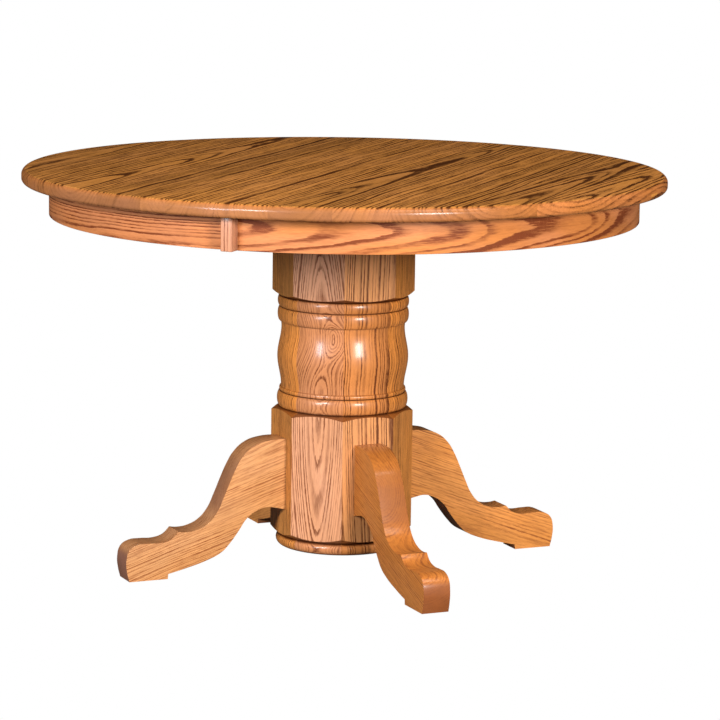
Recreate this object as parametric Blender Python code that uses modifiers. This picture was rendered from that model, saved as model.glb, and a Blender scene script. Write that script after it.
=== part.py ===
# Round split-top extension dining table on one turned pedestal, modelled in oak.
#
# Metres, +Z up. The origin is on the floor under the middle of the column.
# The two top halves slide apart along X. The seam between them runs along Y.
# The order follows the object: pedestal, feet, slides, aprons, top halves, locks.

import math

import bmesh
import bpy
from mathutils import Matrix, Vector

# ---------------------------------------------------------------- driving dimensions

# The gap kept between pieces that touch, and the play left between pieces that slide.
GAP = 0.0003
SLIDE_PLAY = 0.0006

# Top and apron.
TABLE_HEIGHT = 0.762
TOP_RADIUS = 0.6096
TOP_THICKNESS = 0.0254
RIM_UPPER_ROUND = 0.0118
RIM_LOWER_ROUND = 0.0071
APRON_SETBACK = 0.0514
APRON_THICKNESS = 0.019
APRON_HEIGHT = 0.0617
SEAM_BLOCK_WIDTH = 0.0224
SEAM_BLOCK_PROUD = 0.0220
SEAM_BLOCK_BACK = 0.006
SEAM_BLOCK_ROUND = 0.0012
ALIGNMENT_PIN_RADIUS = 0.004
ALIGNMENT_PIN_LENGTH = 0.030
ALIGNMENT_PIN_SPACING = 0.42

# Column: eight staves, octagonal above and below, turned in the middle. The turning's depths
# are measured from the flat faces inwards.
COLUMN_CORNER_RADIUS = 0.1357
STAVE_THICKNESS = 0.028
COLUMN_BOTTOM = 0.038
FOOT_RING_HEIGHT = 0.024
FOOT_RING_DEPTH = 0.00037
LOWER_BLOCK_BOTTOM = 0.0735
LOWER_BLOCK_TOP = 0.2990
UPPER_BLOCK_BOTTOM = 0.5310
GROOVE_DEPTH = 0.00487
BEAD_DEPTH = 0.00007
NECK_DEPTH = 0.00767
BELLY_DEPTH = 0.00017
SHOULDER_RISE = 0.0085
PLATE_THICKNESS = 0.019
BOTTOM_PLATE_INSET = 0.008

# Feet.
FOOT_LENGTH = 0.3204
FOOT_HEIGHT = 0.2540
FOOT_THICKNESS = 0.0528
FOOT_EDGE_ROUND = 0.0055
FOOT_BOLT_RADIUS = 0.004
FOOT_BOLT_DEPTH = 0.060
FOOT_BOLT_UPPER = 0.215
FOOT_BOLT_LOWER = 0.160
BOLT_HEAD_RADIUS = 0.0075
BOLT_HEAD_HEIGHT = 0.0055
BOLT_HOLE_SPARE = 0.004
GLIDE_RADIUS = 0.011
GLIDE_THICKNESS = 0.005
GLIDE_PROUD = 0.0008
GLIDE_NAIL_RADIUS = 0.0015
GLIDE_NAIL_LENGTH = 0.014

# Geared slides: two sets, each an outer runner for each half and a centre runner.
TRAVEL = 0.3048
SLIDE_SPACING = 0.190
RUNNER_HEIGHT = 0.046
RUNNER_THICKNESS = 0.023
RUNNER_LENGTH = 0.670
RUNNER_DROP = 0.002
RUNNER_PLAY = 0.0008
TONGUE_HEIGHT = 0.008
TONGUE_DEPTH = 0.0066
TONGUE_BELOW_MIDDLE = 0.011
RACK_ABOVE_MIDDLE = 0.009
RACK_HEIGHT = 0.010
RACK_BACK = 0.003
RACK_RUNOUT = 0.015
RACK_CLEARANCE = 0.000946
PINION_TEETH = 12
ADDENDUM_SHARE = 0.85
DEDENDUM_SHARE = 1.10
PINION_HEIGHT = 0.009
PINION_AXLE_RADIUS = 0.0025
PINION_AXLE_REACH = 0.007
PRESSURE_ANGLE = math.radians(25.0)
BACKLASH = 0.0006
CLEAT_THICKNESS = 0.025
CLEAT_WIDTH = 0.070
CLEAT_LAP = 0.00763
CLEAT_OVERHANG = 0.016
CLEAT_BOLT_SPACING = 0.045
CLEAT_BOLT_HEAD_HEIGHT = 0.0033
CLEAT_BOLT_POINT = 0.012
NUT_HEIGHT = 0.0065

# Locks under the seam.
LOCK_SPACING = 0.340
LOCK_REACH = 0.055
LOCK_PIVOT_SETBACK = 0.035
LOCK_PLATE_THICKNESS = 0.0025
LOCK_PLATE_WIDTH = 0.030
LOCK_LEVER_THICKNESS = 0.003
LOCK_LEVER_WIDTH = 0.018
LOCK_POST_RADIUS = 0.003
LOCK_HEAD_RADIUS = 0.0052
LOCK_HEAD_HEIGHT = 0.0018
LOCK_SLOT_PLAY = 0.0012

# Facets.
TOP_STEPS = 88
COLUMN_STEPS = 32
ROUND_STEPS = 10

# ---------------------------------------------------------------- derived dimensions

EIGHTH = math.radians(45.0)
UNDERSIDE = TABLE_HEIGHT - TOP_THICKNESS
APRON_RADIUS = TOP_RADIUS - APRON_SETBACK
APRON_INNER_RADIUS = APRON_RADIUS - APRON_THICKNESS
APRON_TOP = UNDERSIDE - GAP
APRON_BOTTOM = APRON_TOP - APRON_HEIGHT

COLUMN_FACE = COLUMN_CORNER_RADIUS * math.cos(EIGHTH / 2)
COLUMN_INNER_FACE = COLUMN_FACE - STAVE_THICKNESS
GROOVE_RADIUS = COLUMN_FACE - GROOVE_DEPTH
BEAD_RADIUS = COLUMN_FACE - BEAD_DEPTH
NECK_RADIUS = COLUMN_FACE - NECK_DEPTH
BELLY_RADIUS = COLUMN_FACE - BELLY_DEPTH
FOOT_RING_RADIUS = COLUMN_FACE - FOOT_RING_DEPTH

RUNNER_TOP = UNDERSIDE - GAP
RUNNER_BOTTOM = RUNNER_TOP - RUNNER_HEIGHT
RUNNER_MIDDLE = (RUNNER_TOP + RUNNER_BOTTOM) / 2
CENTRE_TOP = RUNNER_TOP - RUNNER_DROP
CENTRE_BOTTOM = RUNNER_BOTTOM - RUNNER_DROP
CENTRE_HALF = RUNNER_THICKNESS / 2
CLEAT_TOP = CENTRE_BOTTOM - GAP
CLEAT_SPACING = COLUMN_INNER_FACE + CLEAT_LAP - CLEAT_WIDTH / 2
CLEAT_BOTTOM = CLEAT_TOP - CLEAT_THICKNESS
COLUMN_TOP = CLEAT_BOTTOM - GAP

# The pinion is just large enough for the racks' tips to clear the centre runner.
PINION_PITCH_RADIUS = (CENTRE_HALF + RACK_CLEARANCE) / (1 - 2 * ADDENDUM_SHARE / PINION_TEETH)
MODULE = 2 * PINION_PITCH_RADIUS / PINION_TEETH
ADDENDUM = ADDENDUM_SHARE * MODULE
DEDENDUM = DEDENDUM_SHARE * MODULE
OUTER_FACE = CENTRE_HALF + RUNNER_PLAY
RACK_DEPTH = PINION_PITCH_RADIUS + DEDENDUM + RACK_BACK
PINION_TIP_RADIUS = PINION_PITCH_RADIUS + ADDENDUM
RACK_CENTRE = RUNNER_MIDDLE + RACK_ABOVE_MIDDLE
TONGUE_CENTRE = RUNNER_MIDDLE - TONGUE_BELOW_MIDDLE

LOCK_LEVER_TOP = RUNNER_TOP - LOCK_PLATE_THICKNESS - SLIDE_PLAY
LOCK_LEVER_BOTTOM = LOCK_LEVER_TOP - LOCK_LEVER_THICKNESS

# ---------------------------------------------------------------- a clean scene

for old in list(bpy.data.objects):
    bpy.data.objects.remove(old, do_unlink=True)

TABLE = bpy.data.collections.new("pedestal_table")
CUTTERS = bpy.data.collections.new("cutters")
bpy.context.scene.collection.children.link(TABLE)
bpy.context.scene.collection.children.link(CUTTERS)


# ---------------------------------------------------------------- materials

def make_material(name, colour, roughness, metallic=0.0):
    """A plain surface of one colour."""
    material = bpy.data.materials.new(name)
    material.use_nodes = True
    shader = material.node_tree.nodes["Principled BSDF"]
    shader.inputs["Base Color"].default_value = (*colour, 1.0)
    shader.inputs["Roughness"].default_value = roughness
    shader.inputs["Metallic"].default_value = metallic
    return material


TOP_OAK = make_material("top_oak", (0.42, 0.21, 0.06), 0.35)
APRON_OAK = make_material("apron_oak", (0.68, 0.33, 0.13), 0.35)
COLUMN_OAK = make_material("column_oak", (0.55, 0.26, 0.10), 0.32)
FOOT_OAK = make_material("foot_oak", (0.66, 0.31, 0.10), 0.32)
SLIDE_BEECH = make_material("slide_beech", (0.62, 0.44, 0.27), 0.55)
PLYWOOD = make_material("plywood", (0.58, 0.42, 0.25), 0.65)
ZINC_STEEL = make_material("zinc_steel", (0.62, 0.62, 0.60), 0.38, 1.0)
DARK_STEEL = make_material("dark_steel", (0.20, 0.20, 0.21), 0.45, 1.0)
GLIDE_PLASTIC = make_material("glide_plastic", (0.06, 0.05, 0.045), 0.5)


# ---------------------------------------------------------------- modelling helpers

def add_object(name, mesh, material=None):
    """Put a mesh in the table's collection, or in the cutters' when it has no material."""
    made = bpy.data.objects.new(name, mesh)
    if material is None:
        CUTTERS.objects.link(made)
        made.hide_render = True
        made.display_type = "WIRE"
    else:
        TABLE.objects.link(made)
        mesh.materials.clear()
        mesh.materials.append(material)
    return made


def box(name, low, high, material=None):
    """A box between two corners."""
    low = Vector(low)
    high = Vector(high)
    size = high - low
    shape = bmesh.new()
    place = Matrix.Translation((low + high) / 2) @ Matrix.Diagonal((*size, 1.0))
    bmesh.ops.create_cube(shape, size=1.0, matrix=place)
    mesh = bpy.data.meshes.new(name)
    shape.to_mesh(mesh)
    shape.free()
    return add_object(name, mesh, material)


def rod(name, radius, start, end, material=None, sides=ROUND_STEPS):
    """A cylinder, or a prism with few sides, from one point to another."""
    start = Vector(start)
    end = Vector(end)
    along = end - start
    turn = along.to_track_quat("Z", "Y").to_matrix().to_4x4()
    place = Matrix.Translation((start + end) / 2) @ turn
    shape = bmesh.new()
    bmesh.ops.create_cone(shape, cap_ends=True, segments=sides, radius1=radius,
                          radius2=radius, depth=along.length, matrix=place)
    mesh = bpy.data.meshes.new(name)
    shape.to_mesh(mesh)
    shape.free()
    return add_object(name, mesh, material)


def turned(name, profile, steps, material=None):
    """A solid turned about Z from a profile of (radius, height) points, top to bottom."""
    mesh = bpy.data.meshes.new(name)
    points = [(radius, 0.0, height) for radius, height in profile]
    edges = [(i, i + 1) for i in range(len(points) - 1)]
    mesh.from_pydata(points, edges, [])
    made = add_object(name, mesh, material)
    screw = made.modifiers.new("turn", "SCREW")
    screw.steps = steps
    screw.render_steps = steps
    screw.use_merge_vertices = True
    screw.merge_threshold = 0.00001
    screw.use_smooth_shade = True
    return made


def slab(name, points, thickness, material=None):
    """A flat straight-edged outline in X and Y, made this thick about Z = 0."""
    curve = bpy.data.curves.new(name, "CURVE")
    curve.dimensions = "2D"
    curve.fill_mode = "BOTH"
    curve.extrude = thickness / 2
    spline = curve.splines.new("POLY")
    spline.points.add(len(points) - 1)
    for point, (x, y) in zip(spline.points, points):
        point.co = (x, y, 0.0, 1.0)
    spline.use_cyclic_u = True
    return curve_to_mesh(name, curve, material)


def curve_to_mesh(name, curve, material):
    """Turn a filled curve into a welded mesh object."""
    drawn = bpy.data.objects.new(name + "_outline", curve)
    CUTTERS.objects.link(drawn)
    mesh = evaluated_mesh(drawn)
    bpy.data.objects.remove(drawn, do_unlink=True)
    shape = bmesh.new()
    shape.from_mesh(mesh)
    bmesh.ops.remove_doubles(shape, verts=shape.verts, dist=0.000001)
    bmesh.ops.recalc_face_normals(shape, faces=shape.faces)
    bmesh.ops.dissolve_limit(shape, angle_limit=math.radians(0.5), verts=[], edges=shape.edges[:])
    shape.to_mesh(mesh)
    shape.free()
    mesh.name = name
    return add_object(name, mesh, material)


def evaluated_mesh(made):
    """The mesh of an object with its modifiers applied."""
    depsgraph = bpy.context.evaluated_depsgraph_get()
    depsgraph.update()
    return bpy.data.meshes.new_from_object(made.evaluated_get(depsgraph))


def boolean(made, tool, operation):
    """Cut, keep or join one solid with another."""
    step = made.modifiers.new(operation.lower(), "BOOLEAN")
    step.operation = operation
    step.solver = "EXACT"
    step.object = tool
    return made


def soften(made, width, segments=1, angle=40.0):
    """Round the edges that are sharper than an angle."""
    bevel = made.modifiers.new("round", "BEVEL")
    bevel.width = width
    bevel.segments = segments
    bevel.limit_method = "ANGLE"
    bevel.angle_limit = math.radians(angle)
    bevel.harden_normals = False
    return made


def shade_round(mesh, angle=35.0):
    """Smooth shading across shallow edges."""
    mesh.shade_smooth()
    mesh.set_sharp_from_angle(angle=math.radians(angle))


def settle(made):
    """Replace an object's mesh by its finished shape, so that copies can share it."""
    mesh = evaluated_mesh(made)
    made.modifiers.clear()
    made.data = mesh
    shade_round(mesh)
    return made


def copy_of(made, name, place):
    """Another object that shares a finished mesh, placed by a matrix."""
    twin = bpy.data.objects.new(name, made.data)
    twin.matrix_world = place @ made.matrix_world
    TABLE.objects.link(twin)
    return twin


def turn_z(angle):
    return Matrix.Rotation(angle, 4, "Z")


def half_space(side):
    """A block that holds everything on one side of the seam, less half the gap."""
    size = TOP_RADIUS * 1.2
    start = side * GAP / 2
    end = side * size
    name = "side_of_seam_left" if side < 0 else "side_of_seam_right"
    if name in bpy.data.objects:
        return bpy.data.objects[name]
    return box(name, (min(start, end), -size, -size), (max(start, end), size, size * 2))


# ---------------------------------------------------------------- column

def bead(top, bottom, edge, crown, steps):
    """Profile points of a rounded bead, from its upper edge to its lower edge."""
    middle = (top + bottom) / 2
    half = (top - bottom) / 2
    points = []
    for i in range(steps + 1):
        angle = math.pi * i / steps
        radius = edge + (crown - edge) * math.sin(angle)
        points.append((radius, middle + half * math.cos(angle)))
    return points


def belly(top, bottom, edge, crown, steps):
    """Profile points of the long swelling between the two necks."""
    points = []
    for i in range(steps + 1):
        share = i / steps
        swell = 0.5 - 0.5 * math.cos(2 * math.pi * share)
        points.append((edge + (crown - edge) * swell, top + (bottom - top) * share))
    return points


def column_profile():
    """The turning that the octagonal blank is cut to, from the top of the column down."""
    clear = COLUMN_CORNER_RADIUS * 1.04
    slope = SHOULDER_RISE / (COLUMN_CORNER_RADIUS - GROOVE_RADIUS)
    beyond = (clear - COLUMN_CORNER_RADIUS) * slope
    ring_top = COLUMN_BOTTOM + FOOT_RING_HEIGHT
    ring_edge = FOOT_RING_RADIUS - FOOT_RING_HEIGHT / 2
    upper_bead = UPPER_BLOCK_BOTTOM - SHOULDER_RISE
    lower_bead = LOWER_BLOCK_TOP + SHOULDER_RISE
    turning = upper_bead - lower_bead
    second_bead = upper_bead - 0.100 * turning
    upper_neck = upper_bead - 0.232 * turning
    belly_top = upper_bead - 0.280 * turning
    belly_bottom = lower_bead + 0.186 * turning
    thin_bead = lower_bead + 0.180 * turning
    last_bead = lower_bead + 0.142 * turning

    profile = [(0.0, COLUMN_TOP + 0.02), (clear, COLUMN_TOP + 0.02)]
    profile.append((clear, UPPER_BLOCK_BOTTOM + beyond))
    profile += bead(upper_bead, second_bead, GROOVE_RADIUS, BEAD_RADIUS, 5)
    profile += bead(second_bead - 0.0004, upper_neck, GROOVE_RADIUS, BEAD_RADIUS, 5)[:-1]
    profile.append((NECK_RADIUS + 0.0008, upper_neck))
    profile += belly(belly_top, belly_bottom, NECK_RADIUS, BELLY_RADIUS, 8)
    profile += bead(thin_bead, last_bead + 0.0006, NECK_RADIUS + 0.0010, GROOVE_RADIUS + 0.0006, 3)
    profile += bead(last_bead, lower_bead + 0.0004, GROOVE_RADIUS - 0.001, BEAD_RADIUS, 5)
    profile.append((GROOVE_RADIUS, lower_bead))
    profile.append((clear, LOWER_BLOCK_TOP - beyond))
    profile.append((clear, LOWER_BLOCK_BOTTOM + beyond))
    profile.append((GROOVE_RADIUS + 0.002, ring_top + 0.0008))
    profile += bead(ring_top, COLUMN_BOTTOM, ring_edge, FOOT_RING_RADIUS, 6)
    profile.append((0.0, COLUMN_BOTTOM))
    return profile


def stave_outline():
    """The section of one stave, whose mitred sides meet its neighbours' at half a gap."""
    half_gap = GAP / 2
    slope = math.tan(EIGHTH / 2)
    shift = half_gap / math.cos(EIGHTH / 2)
    outer = COLUMN_FACE * slope - shift
    inner = COLUMN_INNER_FACE * slope - shift
    return [(COLUMN_INNER_FACE, -inner), (COLUMN_FACE, -outer),
            (COLUMN_FACE, outer), (COLUMN_INNER_FACE, inner)]


def make_stave(name, turning, bolted):
    """One stave facing +X: the mitred blank kept inside the turning, drilled if a foot hangs on it."""
    height = COLUMN_TOP - COLUMN_BOTTOM
    stave = slab(name, stave_outline(), height, COLUMN_OAK)
    stave.data.transform(Matrix.Translation((0, 0, COLUMN_BOTTOM + height / 2)))
    boolean(stave, turning, "INTERSECT")
    if bolted:
        for level in (FOOT_BOLT_UPPER, FOOT_BOLT_LOWER):
            drill = rod("stave_drill", FOOT_BOLT_RADIUS + 2 * GAP,
                        (COLUMN_INNER_FACE - 0.01, 0, level), (COLUMN_FACE + 0.01, 0, level))
            boolean(stave, drill, "DIFFERENCE")
    return settle(stave)


def build_column():
    """Eight staves round a hollow, and a plate let in at each end."""
    turning = turned("column_turning", column_profile(), COLUMN_STEPS)
    turning.data.transform(turn_z(math.pi / COLUMN_STEPS))
    plain = make_stave("column_stave_1", turning, False)
    bolted = make_stave("column_stave_2", turning, True)
    bolted.matrix_world = turn_z(EIGHTH)
    for number in range(3, 9):
        source = plain if number % 2 else bolted
        first = 1 if number % 2 else 2
        copy_of(source, f"column_stave_{number}", turn_z(EIGHTH * (number - first)))
    build_plates()


def octagon_plate(name, top, material):
    """An octagonal plate that fills the hollow column, with its upper face at a height."""
    radius = (COLUMN_INNER_FACE - GAP) / math.cos(EIGHTH / 2)
    plate = rod(name, radius, (0, 0, top - PLATE_THICKNESS), (0, 0, top), material, sides=8)
    plate.data.transform(turn_z(EIGHTH / 2))
    return plate


def build_plates():
    """The plate that the cleats bolt to, and the one that closes the bottom."""
    upper = octagon_plate("column_top_plate", COLUMN_TOP, PLYWOOD)
    for x, y in cleat_bolt_places():
        drill = rod("plate_drill", FOOT_BOLT_RADIUS + 2 * GAP,
                    (x, y, COLUMN_TOP - 2 * PLATE_THICKNESS), (x, y, COLUMN_TOP + 0.01))
        boolean(upper, drill, "DIFFERENCE")
    octagon_plate("column_bottom_plate", COLUMN_BOTTOM + BOTTOM_PLATE_INSET + PLATE_THICKNESS, PLYWOOD)


# ---------------------------------------------------------------- feet

# Where the pad under the toe starts and ends, as shares of the foot's length.
PAD_START = 0.743
PAD_END = 0.981

# The foot's outline from its upper corner at the column, over the top, round the toe and
# back along the underside. Each point is (share of length, share of height, smooth or not).
FOOT_OUTLINE = [
    (0.000, 1.000, False), (0.108, 0.996, True), (0.202, 0.963, True), (0.274, 0.888, True),
    (0.318, 0.800, True), (0.356, 0.697, True), (0.395, 0.583, True), (0.438, 0.472, True),
    (0.493, 0.397, True), (0.562, 0.356, True), (0.630, 0.345, True), (0.676, 0.352, False),
    (0.718, 0.302, True), (0.784, 0.279, True), (0.862, 0.281, True), (0.931, 0.276, True),
    (0.981, 0.238, True), (1.000, 0.158, True), (0.995, 0.070, True), (PAD_END, 0.000, False),
    (PAD_START, 0.000, False), (0.740, 0.038, False), (0.634, 0.069, True), (0.489, 0.122, True),
    (0.402, 0.174, True), (0.355, 0.232, True), (0.296, 0.327, True), (0.249, 0.410, True),
    (0.183, 0.469, True), (0.121, 0.489, True), (0.064, 0.479, True), (0.000, 0.460, False),
]


def foot_blank():
    """The scroll-sawn blank, standing in the plane of X and Z with its end at the column."""
    curve = bpy.data.curves.new("foot_outline", "CURVE")
    curve.dimensions = "2D"
    curve.fill_mode = "BOTH"
    curve.extrude = FOOT_THICKNESS / 2
    curve.resolution_u = 2
    spline = curve.splines.new("BEZIER")
    spline.bezier_points.add(len(FOOT_OUTLINE) - 1)
    for point, (along, up, smooth) in zip(spline.bezier_points, FOOT_OUTLINE):
        point.co = (along * FOOT_LENGTH, up * (FOOT_HEIGHT - GLIDE_PROUD), 0.0)
        point.handle_left_type = "AUTO" if smooth else "VECTOR"
        point.handle_right_type = "AUTO" if smooth else "VECTOR"
    spline.use_cyclic_u = True
    foot = curve_to_mesh("foot_right", curve, FOOT_OAK)
    stand = Matrix.Translation((COLUMN_FACE + GAP, 0, GLIDE_PROUD)) @ Matrix.Rotation(math.pi / 2, 4, "X")
    foot.data.transform(stand)
    return foot


def round_foot_edges(foot):
    """Round the long edges of both cheeks, but not the end that lies on the column or the pad."""
    shape = bmesh.new()
    shape.from_mesh(foot.data)
    weights = shape.edges.layers.float.new("bevel_weight_edge")
    cheek = FOOT_THICKNESS / 2 - 0.0001
    end = COLUMN_FACE + GAP + 0.0001
    for edge in shape.edges:
        first, second = edge.verts
        on_cheek = abs(first.co.y) > cheek and first.co.y * second.co.y > 0
        at_end = first.co.x < end and second.co.x < end
        on_pad = max(first.co.z, second.co.z) < GLIDE_PROUD + 0.0001
        under = underside_share(first.co) and underside_share(second.co)
        if on_cheek and not at_end and not on_pad:
            edge[weights] = 0.35 if under else 1.0
    shape.to_mesh(foot.data)
    shape.free()
    bevel = foot.modifiers.new("edge_round", "BEVEL")
    bevel.width = FOOT_EDGE_ROUND
    bevel.segments = 2
    bevel.limit_method = "WEIGHT"
    return foot


def underside_share(place):
    """Whether a point of the foot's outline belongs to its underside."""
    along = (place.x - COLUMN_FACE - GAP) / FOOT_LENGTH
    up = (place.z - GLIDE_PROUD) / FOOT_HEIGHT
    line = 0.52 - 0.62 * along
    return along < PAD_START + 0.002 and up < max(line, 0.16)


def bolt_profile(head, shank, head_height, length):
    """Profile of a bolt whose head is above Z = 0 and whose shank hangs below it."""
    return [(0.0, head_height), (head, head_height), (head, 0.0), (shank, 0.0),
            (shank, -length), (0.0, -length)]


def make_foot_bolt(name, level):
    """A bolt lying along X, driven from inside the column into the foot."""
    start = COLUMN_INNER_FACE - GAP
    length = FOOT_BOLT_DEPTH + STAVE_THICKNESS
    bolt = turned(name, bolt_profile(BOLT_HEAD_RADIUS, FOOT_BOLT_RADIUS, BOLT_HEAD_HEIGHT, length),
                  ROUND_STEPS, ZINC_STEEL)
    settle(bolt)
    bolt.data.transform(Matrix.Translation((start, 0, level)) @ Matrix.Rotation(-math.pi / 2, 4, "Y"))
    return bolt


def glide_profile(play):
    """Profile of a nail-on glide, or with play, of the recess it sits in."""
    radius = GLIDE_RADIUS + play
    top = GLIDE_THICKNESS + play
    nail = GLIDE_NAIL_RADIUS + play
    tip = GLIDE_THICKNESS + GLIDE_NAIL_LENGTH + play
    if play:
        return [(0.0, tip), (nail, tip), (nail, top), (radius, top), (radius, -0.01), (0.0, -0.01)]
    return [(0.0, tip), (nail, tip), (nail, top), (radius, top), (radius, GLIDE_PROUD),
            (radius - GLIDE_PROUD, 0.0), (0.0, 0.0)]


def build_feet():
    """Four feet on alternate faces of the column, each with two bolts and a glide."""
    pad = COLUMN_FACE + GAP + FOOT_LENGTH * (PAD_START + PAD_END) / 2
    foot = round_foot_edges(foot_blank())
    for level in (FOOT_BOLT_UPPER, FOOT_BOLT_LOWER):
        drill = rod("foot_drill", FOOT_BOLT_RADIUS + 2 * GAP,
                    (COLUMN_FACE - 0.02, 0, level),
                    (COLUMN_FACE + FOOT_BOLT_DEPTH + BOLT_HOLE_SPARE, 0, level))
        boolean(foot, drill, "DIFFERENCE")
    recess = turned("glide_recess", glide_profile(GAP), ROUND_STEPS)
    recess.location.x = pad
    boolean(foot, recess, "DIFFERENCE")
    settle(foot)
    upper = make_foot_bolt("foot_bolt_right_upper", FOOT_BOLT_UPPER)
    lower = make_foot_bolt("foot_bolt_right_lower", FOOT_BOLT_LOWER)
    glide = turned("foot_glide_right", glide_profile(0.0), ROUND_STEPS, GLIDE_PLASTIC)
    settle(glide)
    glide.data.transform(Matrix.Translation((pad, 0, 0)))
    for number, side in enumerate(("back", "left", "front")):
        place = turn_z(EIGHTH + (number + 1) * 2 * EIGHTH)
        copy_of(foot, f"foot_{side}", place)
        copy_of(upper, f"foot_bolt_{side}_upper", place)
        copy_of(lower, f"foot_bolt_{side}_lower", place)
        copy_of(glide, f"foot_glide_{side}", place)
    for first in (foot, upper, lower, glide):
        first.matrix_world = turn_z(EIGHTH)


# ---------------------------------------------------------------- cleats and slides

def cleat_bolt_places():
    """The four places where a bolt goes down through a cleat into the column's top plate."""
    return [(x * CLEAT_SPACING, y * CLEAT_BOLT_SPACING) for x in (-1, 1) for y in (-1, 1)]


def build_cleats():
    """Two cleats across the top of the column, which carry the centre runners."""
    reach = SLIDE_SPACING + RUNNER_THICKNESS + CLEAT_OVERHANG
    for side, name in ((-1, "cleat_left"), (1, "cleat_right")):
        middle = side * CLEAT_SPACING
        cleat = box(name, (middle - CLEAT_WIDTH / 2, -reach, CLEAT_BOTTOM),
                    (middle + CLEAT_WIDTH / 2, reach, CLEAT_TOP), SLIDE_BEECH)
        soften(cleat, 0.002)
        for x, y in cleat_bolt_places():
            if x * side > 0:
                drill = rod("cleat_drill", FOOT_BOLT_RADIUS + 2 * GAP,
                            (x, y, CLEAT_BOTTOM - 0.01), (x, y, CLEAT_TOP + 0.01))
                boolean(cleat, drill, "DIFFERENCE")
    for number, (x, y) in enumerate(cleat_bolt_places()):
        grip = CLEAT_THICKNESS + PLATE_THICKNESS + 3 * GAP
        nut_top = CLEAT_TOP + GAP - grip
        bolt = turned(f"cleat_bolt_{number + 1}",
                      bolt_profile(BOLT_HEAD_RADIUS, FOOT_BOLT_RADIUS, CLEAT_BOLT_HEAD_HEIGHT,
                                   grip + CLEAT_BOLT_POINT),
                      ROUND_STEPS, ZINC_STEEL)
        bolt.location = (x, y, CLEAT_TOP + GAP)
        nut = rod("cleat_nut", BOLT_HEAD_RADIUS, (x, y, nut_top - NUT_HEIGHT), (x, y, nut_top), sides=6)
        boolean(bolt, nut, "UNION")


def involute(radius, base):
    """The roll angle between a tooth's root on the base circle and a point at a radius."""
    if radius <= base:
        return 0.0
    angle = math.acos(base / radius)
    return math.tan(angle) - angle


def pinion_outline():
    """The toothed outline, with a tooth centred on +Y and one on -Y."""
    base = PINION_PITCH_RADIUS * math.cos(PRESSURE_ANGLE)
    half_tooth = (math.pi * MODULE / 2 - BACKLASH) / (2 * PINION_PITCH_RADIUS)
    half_at_base = half_tooth + involute(PINION_PITCH_RADIUS, base)
    root = PINION_PITCH_RADIUS - DEDENDUM
    radii = [root, base, PINION_PITCH_RADIUS, PINION_TIP_RADIUS]
    points = []
    for tooth in range(PINION_TEETH):
        middle = math.pi / 2 + 2 * math.pi * tooth / PINION_TEETH
        rising = [(radius, middle - half_at_base + involute(radius, base)) for radius in radii]
        falling = [(radius, middle + half_at_base - involute(radius, base)) for radius in reversed(radii)]
        for radius, angle in rising + falling:
            points.append((radius * math.cos(angle), radius * math.sin(angle)))
    return points


def build_pinion(name, y):
    """The gear with its axle, standing on the joint's axis."""
    gear = slab(name, pinion_outline(), PINION_HEIGHT, ZINC_STEEL)
    reach = PINION_HEIGHT / 2 + PINION_AXLE_REACH
    axle = rod(name + "_axle", PINION_AXLE_RADIUS, (0, 0, -reach), (0, 0, reach))
    boolean(gear, axle, "UNION")
    settle(gear)
    gear.location = (0, y, RACK_CENTRE)
    bpy.data.objects.remove(axle, do_unlink=True)
    return gear


def rack_outline(start, end):
    """A rack along X with its teeth towards -Y and a space centred on X = 0."""
    pitch = math.pi * MODULE
    half_tooth = (pitch / 2 - BACKLASH) / 2
    tip = PINION_PITCH_RADIUS - ADDENDUM
    root = PINION_PITCH_RADIUS + DEDENDUM
    slope = math.tan(PRESSURE_ANGLE)
    half_tip = half_tooth - ADDENDUM * slope
    half_root = half_tooth + DEDENDUM * slope
    points = [(start, root)]
    first = math.ceil((start + half_root) / pitch - 0.5)
    last = math.floor((end - half_root) / pitch - 0.5)
    for number in range(first, last + 1):
        middle = (number + 0.5) * pitch
        points += [(middle - half_root, root), (middle - half_tip, tip),
                   (middle + half_tip, tip), (middle + half_root, root)]
    points += [(end, root), (end, RACK_DEPTH), (start, RACK_DEPTH)]
    return points


def outer_runner_parts():
    """The left half's outer runner and rack, on the +Y side of a slide set at Y = 0."""
    half = RUNNER_LENGTH / 2
    near = OUTER_FACE
    far = OUTER_FACE + RUNNER_THICKNESS
    rack_start = -RACK_RUNOUT
    rack_end = TRAVEL + RACK_RUNOUT
    runner = box("runner_left_front", (-half, near, RUNNER_BOTTOM), (half, far, RUNNER_TOP), SLIDE_BEECH)
    tongue = box("tongue", (-half, near - TONGUE_DEPTH, TONGUE_CENTRE - TONGUE_HEIGHT / 2),
                 (half, near + TONGUE_DEPTH, TONGUE_CENTRE + TONGUE_HEIGHT / 2))
    channel = box("rack_channel", (rack_start - GAP, near - 0.01, RACK_CENTRE - RACK_HEIGHT / 2 - GAP),
                  (rack_end + GAP, RACK_DEPTH + GAP, RACK_CENTRE + RACK_HEIGHT / 2 + GAP))
    boolean(runner, tongue, "UNION")
    boolean(runner, channel, "DIFFERENCE")
    settle(runner)
    rack = slab("rack_left_front", rack_outline(rack_start, rack_end), RACK_HEIGHT, ZINC_STEEL)
    rack.data.transform(Matrix.Translation((0, 0, RACK_CENTRE)))
    shade_round(rack.data)
    return runner, rack


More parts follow.
